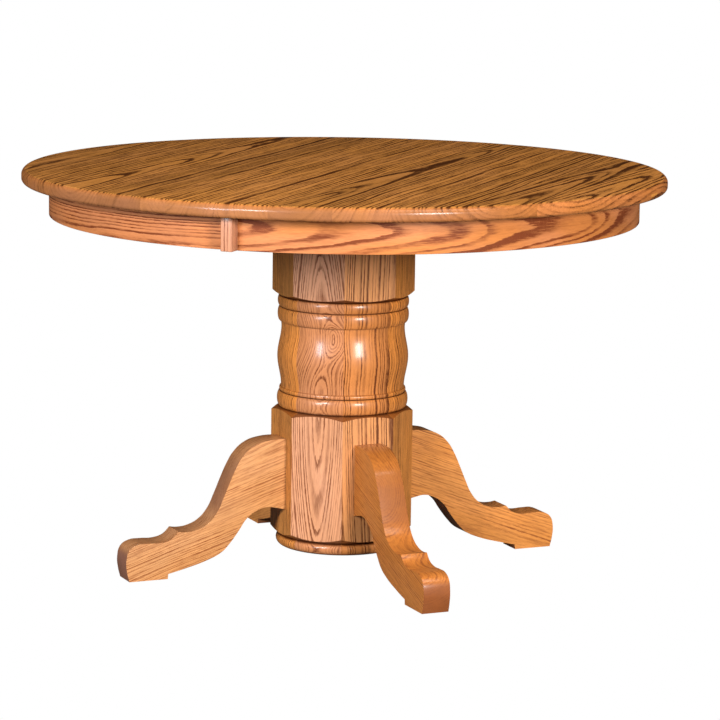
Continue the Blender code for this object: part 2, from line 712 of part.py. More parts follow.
def build_centre_runner(name, y):
    """The middle runner: a groove down each side for the tongues, and a slot for the pinion."""
    half = RUNNER_LENGTH / 2
    runner = box(name, (-half, -CENTRE_HALF, CENTRE_BOTTOM), (half, CENTRE_HALF, CENTRE_TOP), SLIDE_BEECH)
    floor = OUTER_FACE - TONGUE_DEPTH - SLIDE_PLAY
    low = TONGUE_CENTRE - TONGUE_HEIGHT / 2 - SLIDE_PLAY
    high = TONGUE_CENTRE + TONGUE_HEIGHT / 2 + SLIDE_PLAY
    for side in (-1, 1):
        groove = box("tongue_groove", (-half - 0.01, min(side * floor, side * 0.03), low),
                     (half + 0.01, max(side * floor, side * 0.03), high))
        boolean(runner, groove, "DIFFERENCE")
    room = PINION_TIP_RADIUS + 2 * SLIDE_PLAY
    slot = box("pinion_slot", (-room, -0.03, RACK_CENTRE - PINION_HEIGHT / 2 - SLIDE_PLAY),
               (room, 0.03, RACK_CENTRE + PINION_HEIGHT / 2 + SLIDE_PLAY))
    boolean(runner, slot, "DIFFERENCE")
    reach = PINION_HEIGHT / 2 + PINION_AXLE_REACH + GAP
    hole = rod("axle_hole", PINION_AXLE_RADIUS + GAP, (0, 0, RACK_CENTRE - reach),
               (0, 0, CENTRE_TOP + 0.01))
    boolean(runner, hole, "DIFFERENCE")
    settle(runner)
    runner.location.y = y
    return runner


def build_slides():
    """Front and back slide sets: the centre runner stays, the outer ones go with the halves."""
    runner, rack = outer_runner_parts()
    for side, name in ((-1, "front"), (1, "back")):
        y = side * SLIDE_SPACING
        build_centre_runner(f"centre_runner_{name}", y)
        build_pinion(f"pinion_{name}", y)
        place = Matrix.Translation((0, y, 0))
        if side < 0:
            runner.matrix_world = place
            rack.matrix_world = place
        else:
            copy_of(runner, "runner_left_back", place @ runner.matrix_world.inverted())
            copy_of(rack, "rack_left_back", place @ rack.matrix_world.inverted())
        turned_round = place @ turn_z(math.pi)
        for source, part in ((runner, "runner"), (rack, "rack")):
            twin = bpy.data.objects.new(f"{part}_right_{name}", source.data)
            twin.matrix_world = turned_round
            TABLE.objects.link(twin)


# ---------------------------------------------------------------- aprons and seam blocks

def build_aprons():
    """A bent half ring under each half, and the upright block at one end of each."""
    turned_ring = [(APRON_INNER_RADIUS, APRON_BOTTOM), (APRON_INNER_RADIUS, APRON_TOP),
                   (APRON_RADIUS, APRON_TOP), (APRON_RADIUS, APRON_BOTTOM),
                   (APRON_INNER_RADIUS, APRON_BOTTOM)]
    apron = turned("apron_right", turned_ring, TOP_STEPS, APRON_OAK)
    boolean(apron, half_space(1), "INTERSECT")
    room = box("seam_block_room", (-0.01, -TOP_RADIUS, APRON_BOTTOM - 0.02),
               (SEAM_BLOCK_WIDTH + GAP / 2 + GAP, 0.0, APRON_TOP + 0.02))
    boolean(apron, room, "DIFFERENCE")
    settle(apron)
    block = box("seam_block_front", (GAP / 2, -APRON_RADIUS - SEAM_BLOCK_PROUD, APRON_BOTTOM),
                (GAP / 2 + SEAM_BLOCK_WIDTH, -APRON_INNER_RADIUS + SEAM_BLOCK_BACK, APRON_TOP), APRON_OAK)
    soften(block, SEAM_BLOCK_ROUND, 2)
    settle(block)
    copy_of(apron, "apron_left", turn_z(math.pi))
    copy_of(block, "seam_block_back", turn_z(math.pi))


# ---------------------------------------------------------------- top halves

def rim_profile():
    """The section of the round top, from the middle of its upper face to the underside's."""
    upper = RIM_UPPER_ROUND
    lower = RIM_LOWER_ROUND
    points = [(0.0, TABLE_HEIGHT)]
    for i in range(5):
        angle = math.pi / 2 * i / 4
        points.append((TOP_RADIUS - upper + upper * math.sin(angle),
                       TABLE_HEIGHT - upper + upper * math.cos(angle)))
    for i in range(4):
        angle = math.pi / 2 * i / 3
        points.append((TOP_RADIUS - lower + lower * math.cos(angle),
                       UNDERSIDE + lower - lower * math.sin(angle)))
    points.append((0.0, UNDERSIDE))
    return points


def build_top():
    """Two half discs with a rounded rim, lined up by pins across the seam."""
    height = (TABLE_HEIGHT + UNDERSIDE) / 2
    pins = [-ALIGNMENT_PIN_SPACING, 0.0, ALIGNMENT_PIN_SPACING]
    for side, name in ((-1, "top_half_left"), (1, "top_half_right")):
        half = turned(name, rim_profile(), TOP_STEPS, TOP_OAK)
        boolean(half, half_space(side), "INTERSECT")
        for y in pins:
            reach = side * (ALIGNMENT_PIN_LENGTH / 2 + 0.001)
            drill = rod("pin_drill", ALIGNMENT_PIN_RADIUS + 2 * GAP,
                        (-side * 0.01, y, height), (reach, y, height))
            boolean(half, drill, "DIFFERENCE")
        settle(half)
    for number, y in enumerate(pins):
        pin = rod(f"alignment_pin_{number + 1}", ALIGNMENT_PIN_RADIUS,
                  (-ALIGNMENT_PIN_LENGTH / 2, y, height), (ALIGNMENT_PIN_LENGTH / 2, y, height),
                  SLIDE_BEECH)
        shade_round(pin.data)


# ---------------------------------------------------------------- locks

def make_post_plate(name, x, y, width):
    """A plate under the top with a headed post that goes down through or beside the lever."""
    plate = box(name, (x - width / 2, y - LOCK_PLATE_WIDTH / 2, RUNNER_TOP - LOCK_PLATE_THICKNESS),
                (x + width / 2, y + LOCK_PLATE_WIDTH / 2, RUNNER_TOP), DARK_STEEL)
    head_top = LOCK_LEVER_BOTTOM - SLIDE_PLAY
    profile = [(0.0, RUNNER_TOP - LOCK_PLATE_THICKNESS / 2),
               (LOCK_POST_RADIUS, RUNNER_TOP - LOCK_PLATE_THICKNESS / 2),
               (LOCK_POST_RADIUS, head_top), (LOCK_HEAD_RADIUS, head_top),
               (LOCK_HEAD_RADIUS, head_top - LOCK_HEAD_HEIGHT), (0.0, head_top - LOCK_HEAD_HEIGHT)]
    post = turned("lock_post", profile, ROUND_STEPS)
    post.location = (x, y, 0)
    boolean(plate, post, "UNION")
    return settle(plate)


def make_lever(name, x, y, swing):
    """A flat lever along +Y or -Y at rest, slotted to catch the keeper's post when it swings to +X."""
    tip = LOCK_REACH + LOCK_POST_RADIUS + LOCK_SLOT_PLAY + 0.005
    half = LOCK_LEVER_WIDTH / 2
    lever = box(name, (-half, -half, LOCK_LEVER_BOTTOM), (tip, half, LOCK_LEVER_TOP), DARK_STEEL)
    soften(lever, 0.003, 2)
    opening = LOCK_POST_RADIUS + LOCK_SLOT_PLAY
    hole = rod("lever_hole", LOCK_POST_RADIUS + 2 * GAP, (0, 0, LOCK_LEVER_BOTTOM - 0.01),
               (0, 0, LOCK_LEVER_TOP + 0.01))
    slot = box("lever_slot", (LOCK_REACH - opening, min(0.0, swing * 0.03), LOCK_LEVER_BOTTOM - 0.01),
               (LOCK_REACH + opening, max(0.0, swing * 0.03), LOCK_LEVER_TOP + 0.01))
    slot_end = rod("slot_end", opening, (LOCK_REACH, 0, LOCK_LEVER_BOTTOM - 0.01),
                   (LOCK_REACH, 0, LOCK_LEVER_TOP + 0.01))
    thumb = box("thumb_tab", (-half + 0.0005, -half + 0.003, LOCK_LEVER_BOTTOM - 0.010),
                (-half + 0.0030, half - 0.003, LOCK_LEVER_BOTTOM + 0.001))
    boolean(lever, hole, "DIFFERENCE")
    boolean(lever, slot, "DIFFERENCE")
    boolean(lever, slot_end, "DIFFERENCE")
    boolean(lever, thumb, "UNION")
    settle(lever)
    lever.data.transform(Matrix.Translation((0, 0, -LOCK_LEVER_TOP)))
    lever.location = (x, y, LOCK_LEVER_TOP)
    lever.rotation_euler.z = -swing * math.pi / 2
    return lever


def build_locks():
    """A lever lock at each end of the seam: its pivot on the left half, its keeper on the right."""
    pivot = -LOCK_PIVOT_SETBACK
    keeper = pivot + LOCK_REACH
    for side, name in ((-1, "front"), (1, "back")):
        y = side * LOCK_SPACING
        make_post_plate(f"lock_plate_{name}", pivot, y, LOCK_PLATE_WIDTH)
        make_post_plate(f"lock_keeper_{name}", keeper, y, LOCK_PLATE_WIDTH * 0.8)
        make_lever(f"lock_lever_{name}", pivot, y, side)


# ---------------------------------------------------------------- the whole table

build_column()
build_feet()
build_cleats()
build_slides()
build_aprons()
build_top()
build_locks()

for used in list(CUTTERS.objects):
    if not any(step.type == "BOOLEAN" and step.object == used
               for part in TABLE.objects for step in part.modifiers):
        bpy.data.objects.remove(used, do_unlink=True)
bpy.context.view_layer.update()
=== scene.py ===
import math

import bmesh
import bpy
from mathutils import Matrix, Vector


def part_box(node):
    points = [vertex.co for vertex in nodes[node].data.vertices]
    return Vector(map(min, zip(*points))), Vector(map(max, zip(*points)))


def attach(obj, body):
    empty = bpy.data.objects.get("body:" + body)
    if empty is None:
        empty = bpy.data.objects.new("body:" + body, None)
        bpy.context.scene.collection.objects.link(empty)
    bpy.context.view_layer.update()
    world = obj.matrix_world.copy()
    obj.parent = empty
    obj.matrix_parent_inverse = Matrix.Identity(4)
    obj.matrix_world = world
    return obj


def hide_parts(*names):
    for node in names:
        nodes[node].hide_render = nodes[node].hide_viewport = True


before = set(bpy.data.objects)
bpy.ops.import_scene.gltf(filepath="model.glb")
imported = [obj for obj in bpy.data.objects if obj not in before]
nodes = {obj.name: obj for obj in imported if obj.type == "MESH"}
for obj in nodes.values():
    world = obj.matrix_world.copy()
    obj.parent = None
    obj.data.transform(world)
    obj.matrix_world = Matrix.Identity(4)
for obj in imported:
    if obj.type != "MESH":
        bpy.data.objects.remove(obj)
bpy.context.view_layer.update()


# ---- Table top ----
# Two half rounds of red oak, 25 mm thick, each glued up from boards that run along the seam.
# The rim is routed to a soft nose, and both halves are stained and lacquered. Three holes in
# each meeting edge take the alignment pins.

def finished(piece):
    """Settle a piece's modifiers into its mesh."""
    depsgraph = bpy.context.evaluated_depsgraph_get()
    depsgraph.update()
    mesh = bpy.data.meshes.new_from_object(piece.evaluated_get(depsgraph))
    piece.modifiers.clear()
    piece.data = mesh
    mesh.name = piece.name
    return piece


def add_piece(name, shape):
    """Put a bmesh in the scene under a name."""
    mesh = bpy.data.meshes.new(name)
    shape.to_mesh(mesh)
    shape.free()
    piece = bpy.data.objects.new(name, mesh)
    bpy.context.scene.collection.objects.link(piece)
    return piece


def turned(name, profile, steps):
    """A solid turned about the upright axis from (radius, height) points, top to bottom."""
    shape = bmesh.new()
    points = [shape.verts.new((radius, 0.0, height)) for radius, height in profile]
    edges = [shape.edges.new(pair) for pair in zip(points, points[1:])]
    bmesh.ops.spin(shape, geom=points + edges, cent=(0, 0, 0), axis=(0, 0, 1),
                   angle=2 * math.pi, steps=steps, use_merge=True)
    bmesh.ops.remove_doubles(shape, verts=shape.verts, dist=0.000005)
    bmesh.ops.recalc_face_normals(shape, faces=shape.faces)
    return add_piece(name, shape)


def block(name, low, high):
    """A squared block between two corners."""
    low = Vector(low)
    high = Vector(high)
    shape = bmesh.new()
    place = Matrix.Translation((low + high) / 2) @ Matrix.Diagonal((*(high - low), 1.0))
    bmesh.ops.create_cube(shape, size=1.0, matrix=place)
    return add_piece(name, shape)


def dowel(name, radius, start, end, sides=32):
    """A round rod from one point to another."""
    start = Vector(start)
    along = Vector(end) - start
    turn = along.to_track_quat("Z", "Y").to_matrix().to_4x4()
    shape = bmesh.new()
    bmesh.ops.create_cone(shape, cap_ends=True, segments=sides, radius1=radius, radius2=radius,
                          depth=along.length, matrix=Matrix.Translation(start + along / 2) @ turn)
    return add_piece(name, shape)


def cut(piece, tool, operation="DIFFERENCE"):
    """Cut a piece with a tool, which is then thrown away."""
    step = piece.modifiers.new("cut", "BOOLEAN")
    step.operation = operation
    step.solver = "EXACT"
    step.object = tool
    finished(piece)
    bpy.data.objects.remove(tool, do_unlink=True)
    return piece


def rip(piece, place, direction, keep=None):
    """Saw a piece along a plane, keeping both parts or only the part on one side."""
    shape = bmesh.new()
    shape.from_mesh(piece.data)
    everything = shape.verts[:] + shape.edges[:] + shape.faces[:]
    sawn = bmesh.ops.bisect_plane(shape, geom=everything, dist=0.000001, plane_co=place,
                                  plane_no=direction, clear_outer=keep == "behind",
                                  clear_inner=keep == "before")
    if keep:
        rim = [part for part in sawn["geom_cut"] if isinstance(part, bmesh.types.BMEdge)]
        bmesh.ops.edgeloop_fill(shape, edges=rim)
        bmesh.ops.recalc_face_normals(shape, faces=shape.faces)
    shape.to_mesh(piece.data)
    shape.free()
    return piece


def smooth(piece, angle=32.0):
    """Shade a piece smoothly, except across its arrises."""
    piece.data.shade_smooth()
    piece.data.set_sharp_from_angle(angle=math.radians(angle))
    return piece


def lay_grain(piece, log_place, is_planed):
    """Store where each corner of the mesh lay in its log: across, out from the pith and along,
    which board it belongs to, how far it shows end grain and whether it was shaped on a machine
    after the board was planed, which lets the stain in deeper. On some pieces the tints laid on
    end grain and shaped faces also hold painted shade or a painted highlight."""
    mesh = piece.data
    mesh.attributes.new("log_place", "FLOAT_VECTOR", "CORNER")
    mesh.attributes.new("board", "FLOAT", "CORNER")
    mesh.attributes.new("end_grain", "FLOAT", "CORNER")
    mesh.attributes.new("shaped", "FLOAT", "CORNER")
    names = ("log_place", "board", "end_grain", "shaped")
    place, board, end_grain, shaped = (mesh.attributes[name] for name in names)
    for face in mesh.polygons:
        for corner in face.loop_indices:
            point = mesh.vertices[mesh.loops[corner].vertex_index].co
            normal = mesh.corner_normals[corner].vector
            here, number = log_place(point, face.center)
            ahead = log_place(point + 0.001 * normal, face.center)[0]
            place.data[corner].vector = here
            board.data[corner].value = number
            end_grain.data[corner].value = min(abs(ahead[2] - here[2]) / 0.001, 1.0)
            shaped.data[corner].value = 0.0 if is_planed(face) else 1.0
    return piece


def add_node(tree, kind, inputs=None, **settings):
    """A shader node with its settings; each input is a value or the socket that feeds it."""
    made = tree.nodes.new(kind)
    for name, value in settings.items():
        setattr(made, name, value)
    for key, value in (inputs or {}).items():
        if isinstance(value, bpy.types.NodeSocket):
            tree.links.new(value, made.inputs[key])
        else:
            made.inputs[key].default_value = value
    return made


def calc(tree, operation, *terms):
    """The result of a math node."""
    return add_node(tree, "ShaderNodeMath", dict(enumerate(terms)), operation=operation).outputs[0]


def ramp(tree, value, start, end, low=0.0, high=1.0):
    """A smooth rise from low to high as a value goes from start to end."""
    made = add_node(tree, "ShaderNodeMapRange", {0: value, 1: start, 2: end, 3: low, 4: high})
    made.interpolation_type = "SMOOTHSTEP"
    return made.outputs[0]


def streaks(tree, place, seed, across, along, detail=2.0):
    """Noise stretched along the grain, with its two frequencies per millimetre."""
    scaled = add_node(tree, "ShaderNodeVectorMath", {0: place, 1: (across, across, along)},
                      operation="MULTIPLY").outputs[0]
    noise = add_node(tree, "ShaderNodeTexNoise", {"Vector": scaled, "W": seed, "Scale": 1.0,
                     "Detail": detail, "Roughness": 0.6}, noise_dimensions="4D")
    return noise.outputs["Fac"]


def make_oak_grain():
    """Solid red oak: growth rings round a pith, open pores in the early wood, and rays."""
    group = bpy.data.node_groups.new("oak_grain", "ShaderNodeTree")
    given = [("Place", "NodeSocketVector", (0, 0, 0)), ("Board", "NodeSocketFloat", 0.0),
             ("End Grain", "NodeSocketFloat", 0.0), ("Shaped", "NodeSocketFloat", 0.0),
             ("Groove Shade And Stain", "NodeSocketFloat", 1.0), ("Shaped Figure", "NodeSocketFloat", 1.0),
             ("Ring Width", "NodeSocketFloat", 4.0), ("Taper", "NodeSocketFloat", 0.02),
             ("Bow", "NodeSocketFloat", 0.0), ("Waver", "NodeSocketFloat", 4.0),
             ("Ring Darkness", "NodeSocketFloat", 1.0), ("Lines", "NodeSocketFloat", 0.3),
             ("Fleck", "NodeSocketFloat", 0.3), ("Tone Spread", "NodeSocketFloat", 0.2),
             ("Late Wood", "NodeSocketColor", (0.5, 0.25, 0.1, 1)),
             ("Early Wood", "NodeSocketColor", (0.2, 0.08, 0.03, 1)),
             ("Flush", "NodeSocketColor", (0.6, 0.3, 0.2, 1)),
             ("End Tint", "NodeSocketColor", (1, 1, 1, 1)),
             ("Shaped Tint", "NodeSocketColor", (1, 1, 1, 1))]
    for name, kind, value in given:
        group.interface.new_socket(name, in_out="INPUT", socket_type=kind).default_value = value
    for name, kind in [("Colour", "NodeSocketColor"), ("Roughness", "NodeSocketFloat"),
                       ("Height", "NodeSocketFloat")]:
        group.interface.new_socket(name, in_out="OUTPUT", socket_type=kind)
    use = group.nodes.new("NodeGroupInput").outputs
    place = add_node(group, "ShaderNodeVectorMath", {0: use["Place"], 1: (1000, 1000, 1000)},
                     operation="MULTIPLY").outputs[0]
    seed = calc(group, "MULTIPLY", use["Board"], 7.31)
    across, out, along = add_node(group, "ShaderNodeSeparateXYZ", {0: place}).outputs

    # Distance from the pith, which wavers, tapers and bows along the log.
    square = calc(group, "ADD", calc(group, "MULTIPLY", across, across), calc(group, "MULTIPLY", out, out))
    bowed = calc(group, "MULTIPLY", use["Bow"], calc(group, "MULTIPLY", along, along))
    sweep = calc(group, "SUBTRACT", streaks(group, place, seed, 0.011, 0.0042, 1.0), 0.5)
    ragged = calc(group, "SUBTRACT", streaks(group, place, seed, 0.085, 0.016, 2.0), 0.5)
    torn = calc(group, "SUBTRACT", streaks(group, place, seed, 0.55, 0.060, 2.0), 0.5)
    drift = calc(group, "MULTIPLY_ADD", sweep, 2.0, calc(group, "MULTIPLY", ragged, 0.35))
    distance = calc(group, "ADD", calc(group, "SQRT", square), calc(group, "MULTIPLY", use["Taper"], along))
    distance = calc(group, "ADD", distance, bowed)
    distance = calc(group, "MULTIPLY_ADD", drift, use["Waver"], distance)
    distance = calc(group, "MULTIPLY_ADD", torn, 2.2, distance)

    # Uneven years: early wood starts sharply and fades out into late wood.
    years = calc(group, "DIVIDE", distance, use["Ring Width"])
    uneven = add_node(group, "ShaderNodeTexNoise", {"W": calc(group, "MULTIPLY_ADD", years, 0.43, seed),
                      "Scale": 1.0, "Detail": 0.0}, noise_dimensions="1D").outputs["Fac"]
    years = calc(group, "MULTIPLY_ADD", uneven, 1.5, years)
    season = calc(group, "FRACT", years)
    year = calc(group, "ADD", calc(group, "FLOOR", years), seed)
    vigour = add_node(group, "ShaderNodeTexWhiteNoise", {"W": year}, noise_dimensions="1D").outputs["Value"]
    early = calc(group, "MULTIPLY", ramp(group, season, 0.0, 0.12), ramp(group, season, 0.20, 0.60, 1.0, 0.0))
    vigour = calc(group, "MULTIPLY", vigour, vigour)
    early = calc(group, "MULTIPLY", early, calc(group, "MULTIPLY_ADD", vigour, 0.85, 0.48))

    # Pores run as short dark lines, densest in the early wood, and the stain gathers in them.
    patchy = ramp(group, streaks(group, place, seed, 0.050, 0.0065, 1.5), 0.34, 0.62, 0.40, 1.15)
    pores = ramp(group, streaks(group, place, seed, 0.60, 0.040, 2.5), 0.34, 0.62)
    lines = ramp(group, streaks(group, place, seed, 0.26, 0.011, 2.5), 0.46, 0.68)
    fine = ramp(group, streaks(group, place, seed, 1.3, 0.09, 1.0), 0.42, 0.70)
    dash = ramp(group, streaks(group, place, seed, 0.34, 0.050, 2.5), 0.46, 0.64)
    dark = calc(group, "MULTIPLY", early, calc(group, "MULTIPLY_ADD", pores, 0.70, 0.55))
    dark = calc(group, "MULTIPLY", calc(group, "MULTIPLY", dark, patchy), use["Ring Darkness"])
    dark = calc(group, "MULTIPLY_ADD", lines, use["Lines"], dark)
    kept = calc(group, "MULTIPLY_ADD", use["Shaped"], calc(group, "SUBTRACT", use["Shaped Figure"], 1.0), 1.0)
    dark = calc(group, "MULTIPLY", dark, kept)
    side_grain = ramp(group, use["End Grain"], 0.35, 0.95, 1.0, 0.30)
    dark = calc(group, "MULTIPLY", dark, side_grain)
    dark = calc(group, "MULTIPLY_ADD", fine, 0.13, dark)
    flecks = calc(group, "MULTIPLY", calc(group, "MULTIPLY", dash, use["Fleck"]), side_grain)
    dark = calc(group, "MULTIPLY_ADD", flecks, 0.60, dark)
    dark = add_node(group, "ShaderNodeClamp", {0: dark}).outputs[0]

    # The stain takes unevenly over the board, and boards differ from each other.
    flush = ramp(group, streaks(group, place, seed, 0.018, 0.005, 1.0), 0.35, 0.70)
    wood = add_node(group, "ShaderNodeMix", {"Factor": calc(group, "MULTIPLY", flush, 0.55),
                    6: use["Late Wood"], 7: use["Flush"]}, data_type="RGBA").outputs[2]
    wood = add_node(group, "ShaderNodeMix", {"Factor": dark, 6: wood, 7: use["Early Wood"]},
                    data_type="RGBA").outputs[2]
    # End tint: soaked stain on end grain, and on the top's rim and the feet a painted highlight too.
    end_stain_and_light = add_node(group, "ShaderNodeMix", {"Factor": ramp(group, use["End Grain"], 0.45, 0.95),
                      6: (1, 1, 1, 1), 7: use["End Tint"]}, data_type="RGBA").outputs[2]
    wood = add_node(group, "ShaderNodeVectorMath", {0: wood, 1: end_stain_and_light}, operation="MULTIPLY").outputs[0]
    # Shaped tint: stain let in deeper, with a painted highlight on the rim, painted shade on staves 7, 8.
    shaped_stain_and_light = add_node(group, "ShaderNodeMix", {"Factor": use["Shaped"], 6: (1, 1, 1, 1),
                      7: use["Shaped Tint"]}, data_type="RGBA").outputs[2]
    wood = add_node(group, "ShaderNodeVectorMath", {0: wood, 1: shaped_stain_and_light}, operation="MULTIPLY").outputs[0]
    # Painted shade with pooled stain: the colour darkens to brown where the piece hems itself in, in grooves.
    pooled_stain_and_shade = add_node(group, "ShaderNodeMix", {"Factor": ramp(group, use["Groove Shade And Stain"], 0.88, 0.42),
                      6: (1, 1, 1, 1), 7: (0.26, 0.18, 0.13, 1)}, data_type="RGBA").outputs[2]
    wood = add_node(group, "ShaderNodeVectorMath", {0: wood, 1: pooled_stain_and_shade}, operation="MULTIPLY").outputs[0]
    own = add_node(group, "ShaderNodeTexWhiteNoise", {"W": calc(group, "ADD", seed, 0.37)},
                   noise_dimensions="1D").outputs["Value"]
    patch = calc(group, "SUBTRACT", streaks(group, place, seed, 0.030, 0.007, 2.0), 0.5)
    tone = calc(group, "MULTIPLY_ADD", calc(group, "SUBTRACT", own, 0.5), use["Tone Spread"], 1.0)
    tone = calc(group, "MULTIPLY_ADD", patch, 0.45, tone)
    wood = add_node(group, "ShaderNodeVectorMath", {0: wood, "Scale": tone}, operation="SCALE").outputs[0]
    rough = calc(group, "MULTIPLY_ADD", dark, 0.16, 0.40)
    height = calc(group, "MULTIPLY", dark, -1.0)
    end = group.nodes.new("NodeGroupOutput")
    for name, socket in [("Colour", wood), ("Roughness", rough), ("Height", height)]:
        group.links.new(socket, end.inputs[name])
    return group


oak_grain = make_oak_grain()
SHAPED_LACQUER = 0.36


def make_oak(name, late, early, flush, end_tint=(1, 1, 1), shaped_tint=(1, 1, 1), lacquer=0.30,
             gloss=0.25, **cut_of_log):
    """Stained and lacquered red oak, with how this piece was cut from its log."""
    material = bpy.data.materials.new(name)
    material.use_nodes = True
    tree = material.node_tree
    shader = tree.nodes["Principled BSDF"]
    place = add_node(tree, "ShaderNodeAttribute", attribute_name="log_place").outputs["Vector"]
    board = add_node(tree, "ShaderNodeAttribute", attribute_name="board").outputs["Fac"]
    end_grain = add_node(tree, "ShaderNodeAttribute", attribute_name="end_grain").outputs["Fac"]
    shaped = add_node(tree, "ShaderNodeAttribute", attribute_name="shaped").outputs["Fac"]
    # Occlusion within 12 mm of the piece itself masks the painted shade and pooled stain in its grooves.
    groove_shade_and_stain = add_node(tree, "ShaderNodeAmbientOcclusion", {"Distance": 0.012}, samples=8,
                      only_local=True).outputs["AO"]
    colours = {"Late Wood": (*late, 1), "Early Wood": (*early, 1), "Flush": (*flush, 1),
               "End Tint": (*end_tint, 1), "Shaped Tint": (*shaped_tint, 1)}
    grain = add_node(tree, "ShaderNodeGroup", node_tree=oak_grain)
    for key, value in {**colours, **cut_of_log}.items():
        grain.inputs[key].default_value = value
    tree.links.new(place, grain.inputs["Place"])
    tree.links.new(board, grain.inputs["Board"])
    tree.links.new(end_grain, grain.inputs["End Grain"])
    tree.links.new(shaped, grain.inputs["Shaped"])
    tree.links.new(groove_shade_and_stain, grain.inputs["Groove Shade And Stain"])
    bump = add_node(tree, "ShaderNodeBump", {"Height": grain.outputs["Height"], "Distance": 0.00012,
                    "Strength": 0.35})
    tree.links.new(grain.outputs["Colour"], shader.inputs["Base Color"])
    tree.links.new(grain.outputs["Roughness"], shader.inputs["Roughness"])
    tree.links.new(bump.outputs[0], shader.inputs["Normal"])
    coat = calc(tree, "MULTIPLY_ADD", shaped, max(SHAPED_LACQUER, lacquer) - lacquer, lacquer)
    tree.links.new(coat, shader.inputs["Coat Weight"])
    shader.inputs["Coat Roughness"].default_value = 0.19
    shader.inputs["IOR"].default_value = 1.47
    shader.inputs["Specular IOR Level"].default_value = gloss
    return material


# On the rim the end and shaped tints darken red and raise blue: soaked stain and a painted highlight.
top_oak = make_oak("top_oak", (0.595, 0.240, 0.050), (0.080, 0.022, 0.004), (0.62, 0.254, 0.069),
                   (0.72, 0.80, 1.12), (0.80, 0.69, 0.82), lacquer=0.06, gloss=0.08,
                   **{"Ring Width": 9.0, "Taper": 0.035, "Waver": 9.0, "Fleck": 0.30,
                      "Tone Spread": 0.24, "Ring Darkness": 1.75, "Lines": 0.42, "Shaped Figure": 0.36})

TURNED_STEPS = 192
NOSE_UPPER = 0.0118
NOSE_LOWER = 0.0071
SEAM_HALF_GAP = 0.00015
PIN_PLACES = (-0.42, 0.0, 0.42)
PIN_BORE = 0.0046

# Widths of the boards from the seam outwards, and where each one's pith lay: how far from the
# board's middle, how far under the face, and how the log was turned end for end.
LEFT_BOARDS = [(0.096, 0.075, 0.020, 1), (0.052, -0.060, 0.030, -1), (0.102, 0.090, 0.012, 1),
               (0.113, 0.018, 0.034, 1), (0.118, -0.085, 0.020, -1), (0.140, -0.012, 0.024, 1)]
RIGHT_BOARDS = [(0.098, 0.088, 0.016, -1), (0.108, -0.020, 0.026, 1), (0.092, -0.080, 0.018, 1),
                (0.104, 0.070, 0.022, -1), (0.098, 0.008, 0.028, 1), (0.125, -0.016, 0.036, 1)]

top_low, top_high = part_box("top_half_right")


def nose_profile(radius, top, underside):
    """Half the section of the round top, from its middle over the nose and back under."""
    points = [(0.0, top)]
    for i in range(11):
        angle = math.pi / 2 * i / 10
        points.append((radius - NOSE_UPPER + NOSE_UPPER * math.sin(angle),
                       top - NOSE_UPPER + NOSE_UPPER * math.cos(angle)))
    for i in range(8):
        angle = math.pi / 2 * i / 7
        points.append((radius - NOSE_LOWER + NOSE_LOWER * math.cos(angle),
                       underside + NOSE_LOWER - NOSE_LOWER * math.sin(angle)))
    points.append((0.0, underside))
    return points


def make_top_half(side, boards):
    """One half: turned, sawn on the seam, bored for the pins, with a log for each board."""
    name = "top_left" if side < 0 else "top_right"
    half = turned(name, nose_profile(top_high.y, top_high.z, top_low.z), TURNED_STEPS)
    rip(half, (side * SEAM_HALF_GAP, 0, 0), (side, 0, 0), keep="before")
    middle = (top_high.z + top_low.z) / 2
    for y in PIN_PLACES:
        cut(half, dowel("drill", PIN_BORE, (-side * 0.01, y, middle), (side * 0.016, y, middle)))
    edges = [0.0]
    for width, *_ in boards:
        edges.append(edges[-1] + width)
        rip(half, (side * edges[-1], 0, 0), (1, 0, 0))

    def log_place(point, centre):
        number = max(i for i in range(len(boards)) if abs(centre.x) >= edges[i] or i == 0)
        width, pith, depth, turned_over = boards[number]
        across = abs(point.x) - edges[number] - width / 2 - pith
        out = depth + top_high.z - point.z
        return (across, out, turned_over * point.y), number + (20 if side < 0 else 1)

    smooth(half, 30.0)
    lay_grain(half, log_place, lambda face: abs(face.normal.z) > 0.9 or abs(face.normal.x) > 0.999)
    half.data.materials.append(top_oak)
    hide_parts("top_half_left" if side < 0 else "top_half_right")
    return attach(half, "left_half" if side < 0 else "right_half")


make_top_half(-1, LEFT_BOARDS)
make_top_half(1, RIGHT_BOARDS)


# ---- Aprons and seam blocks ----
# A bent half ring of flat-sawn oak under each half, screwed on from below, its lower arrises
# eased. An upright oak block closes the joint at one end of each apron.

apron_oak = {-1: make_oak("apron_oak_left", (0.66, 0.226, 0.069), (0.19, 0.040, 0.009), (0.64, 0.24, 0.110),
                          **{"Ring Width": 5.2, "Taper": 0.020, "Waver": 5.0, "Fleck": 0.15,
                             "Tone Spread": 0.0, "Ring Darkness": 1.6, "Lines": 0.10}),
             1: make_oak("apron_oak_right", (0.62, 0.212, 0.052), (0.19, 0.040, 0.009), (0.64, 0.24, 0.110),
                         **{"Ring Width": 8.5, "Taper": 0.085, "Waver": 12.0, "Fleck": 0.22,
                            "Tone Spread": 0.0, "Ring Darkness": 1.35, "Lines": 0.10})}
block_oak = make_oak("seam_block_oak", (0.62, 0.28, 0.155), (0.22, 0.065, 0.025), (0.66, 0.32, 0.19),
                     **{"Ring Width": 5.5, "Taper": 0.0, "Waver": 1.0, "Fleck": 0.15,
                        "Tone Spread": 0.0, "Ring Darkness": 1.3, "Lines": 0.2})
APRON_EASE = 0.0012
APRON_THICKNESS = 0.019
BLOCK_GAP = 0.0003
BLOCK_EASE = 0.0016
BLOCK_PITH = (-0.048, -0.62, 0.4)
apron_low, apron_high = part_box("apron_right")
apron_radius = apron_high.y
apron_inner = apron_radius - APRON_THICKNESS
block_low, block_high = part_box("seam_block_front")


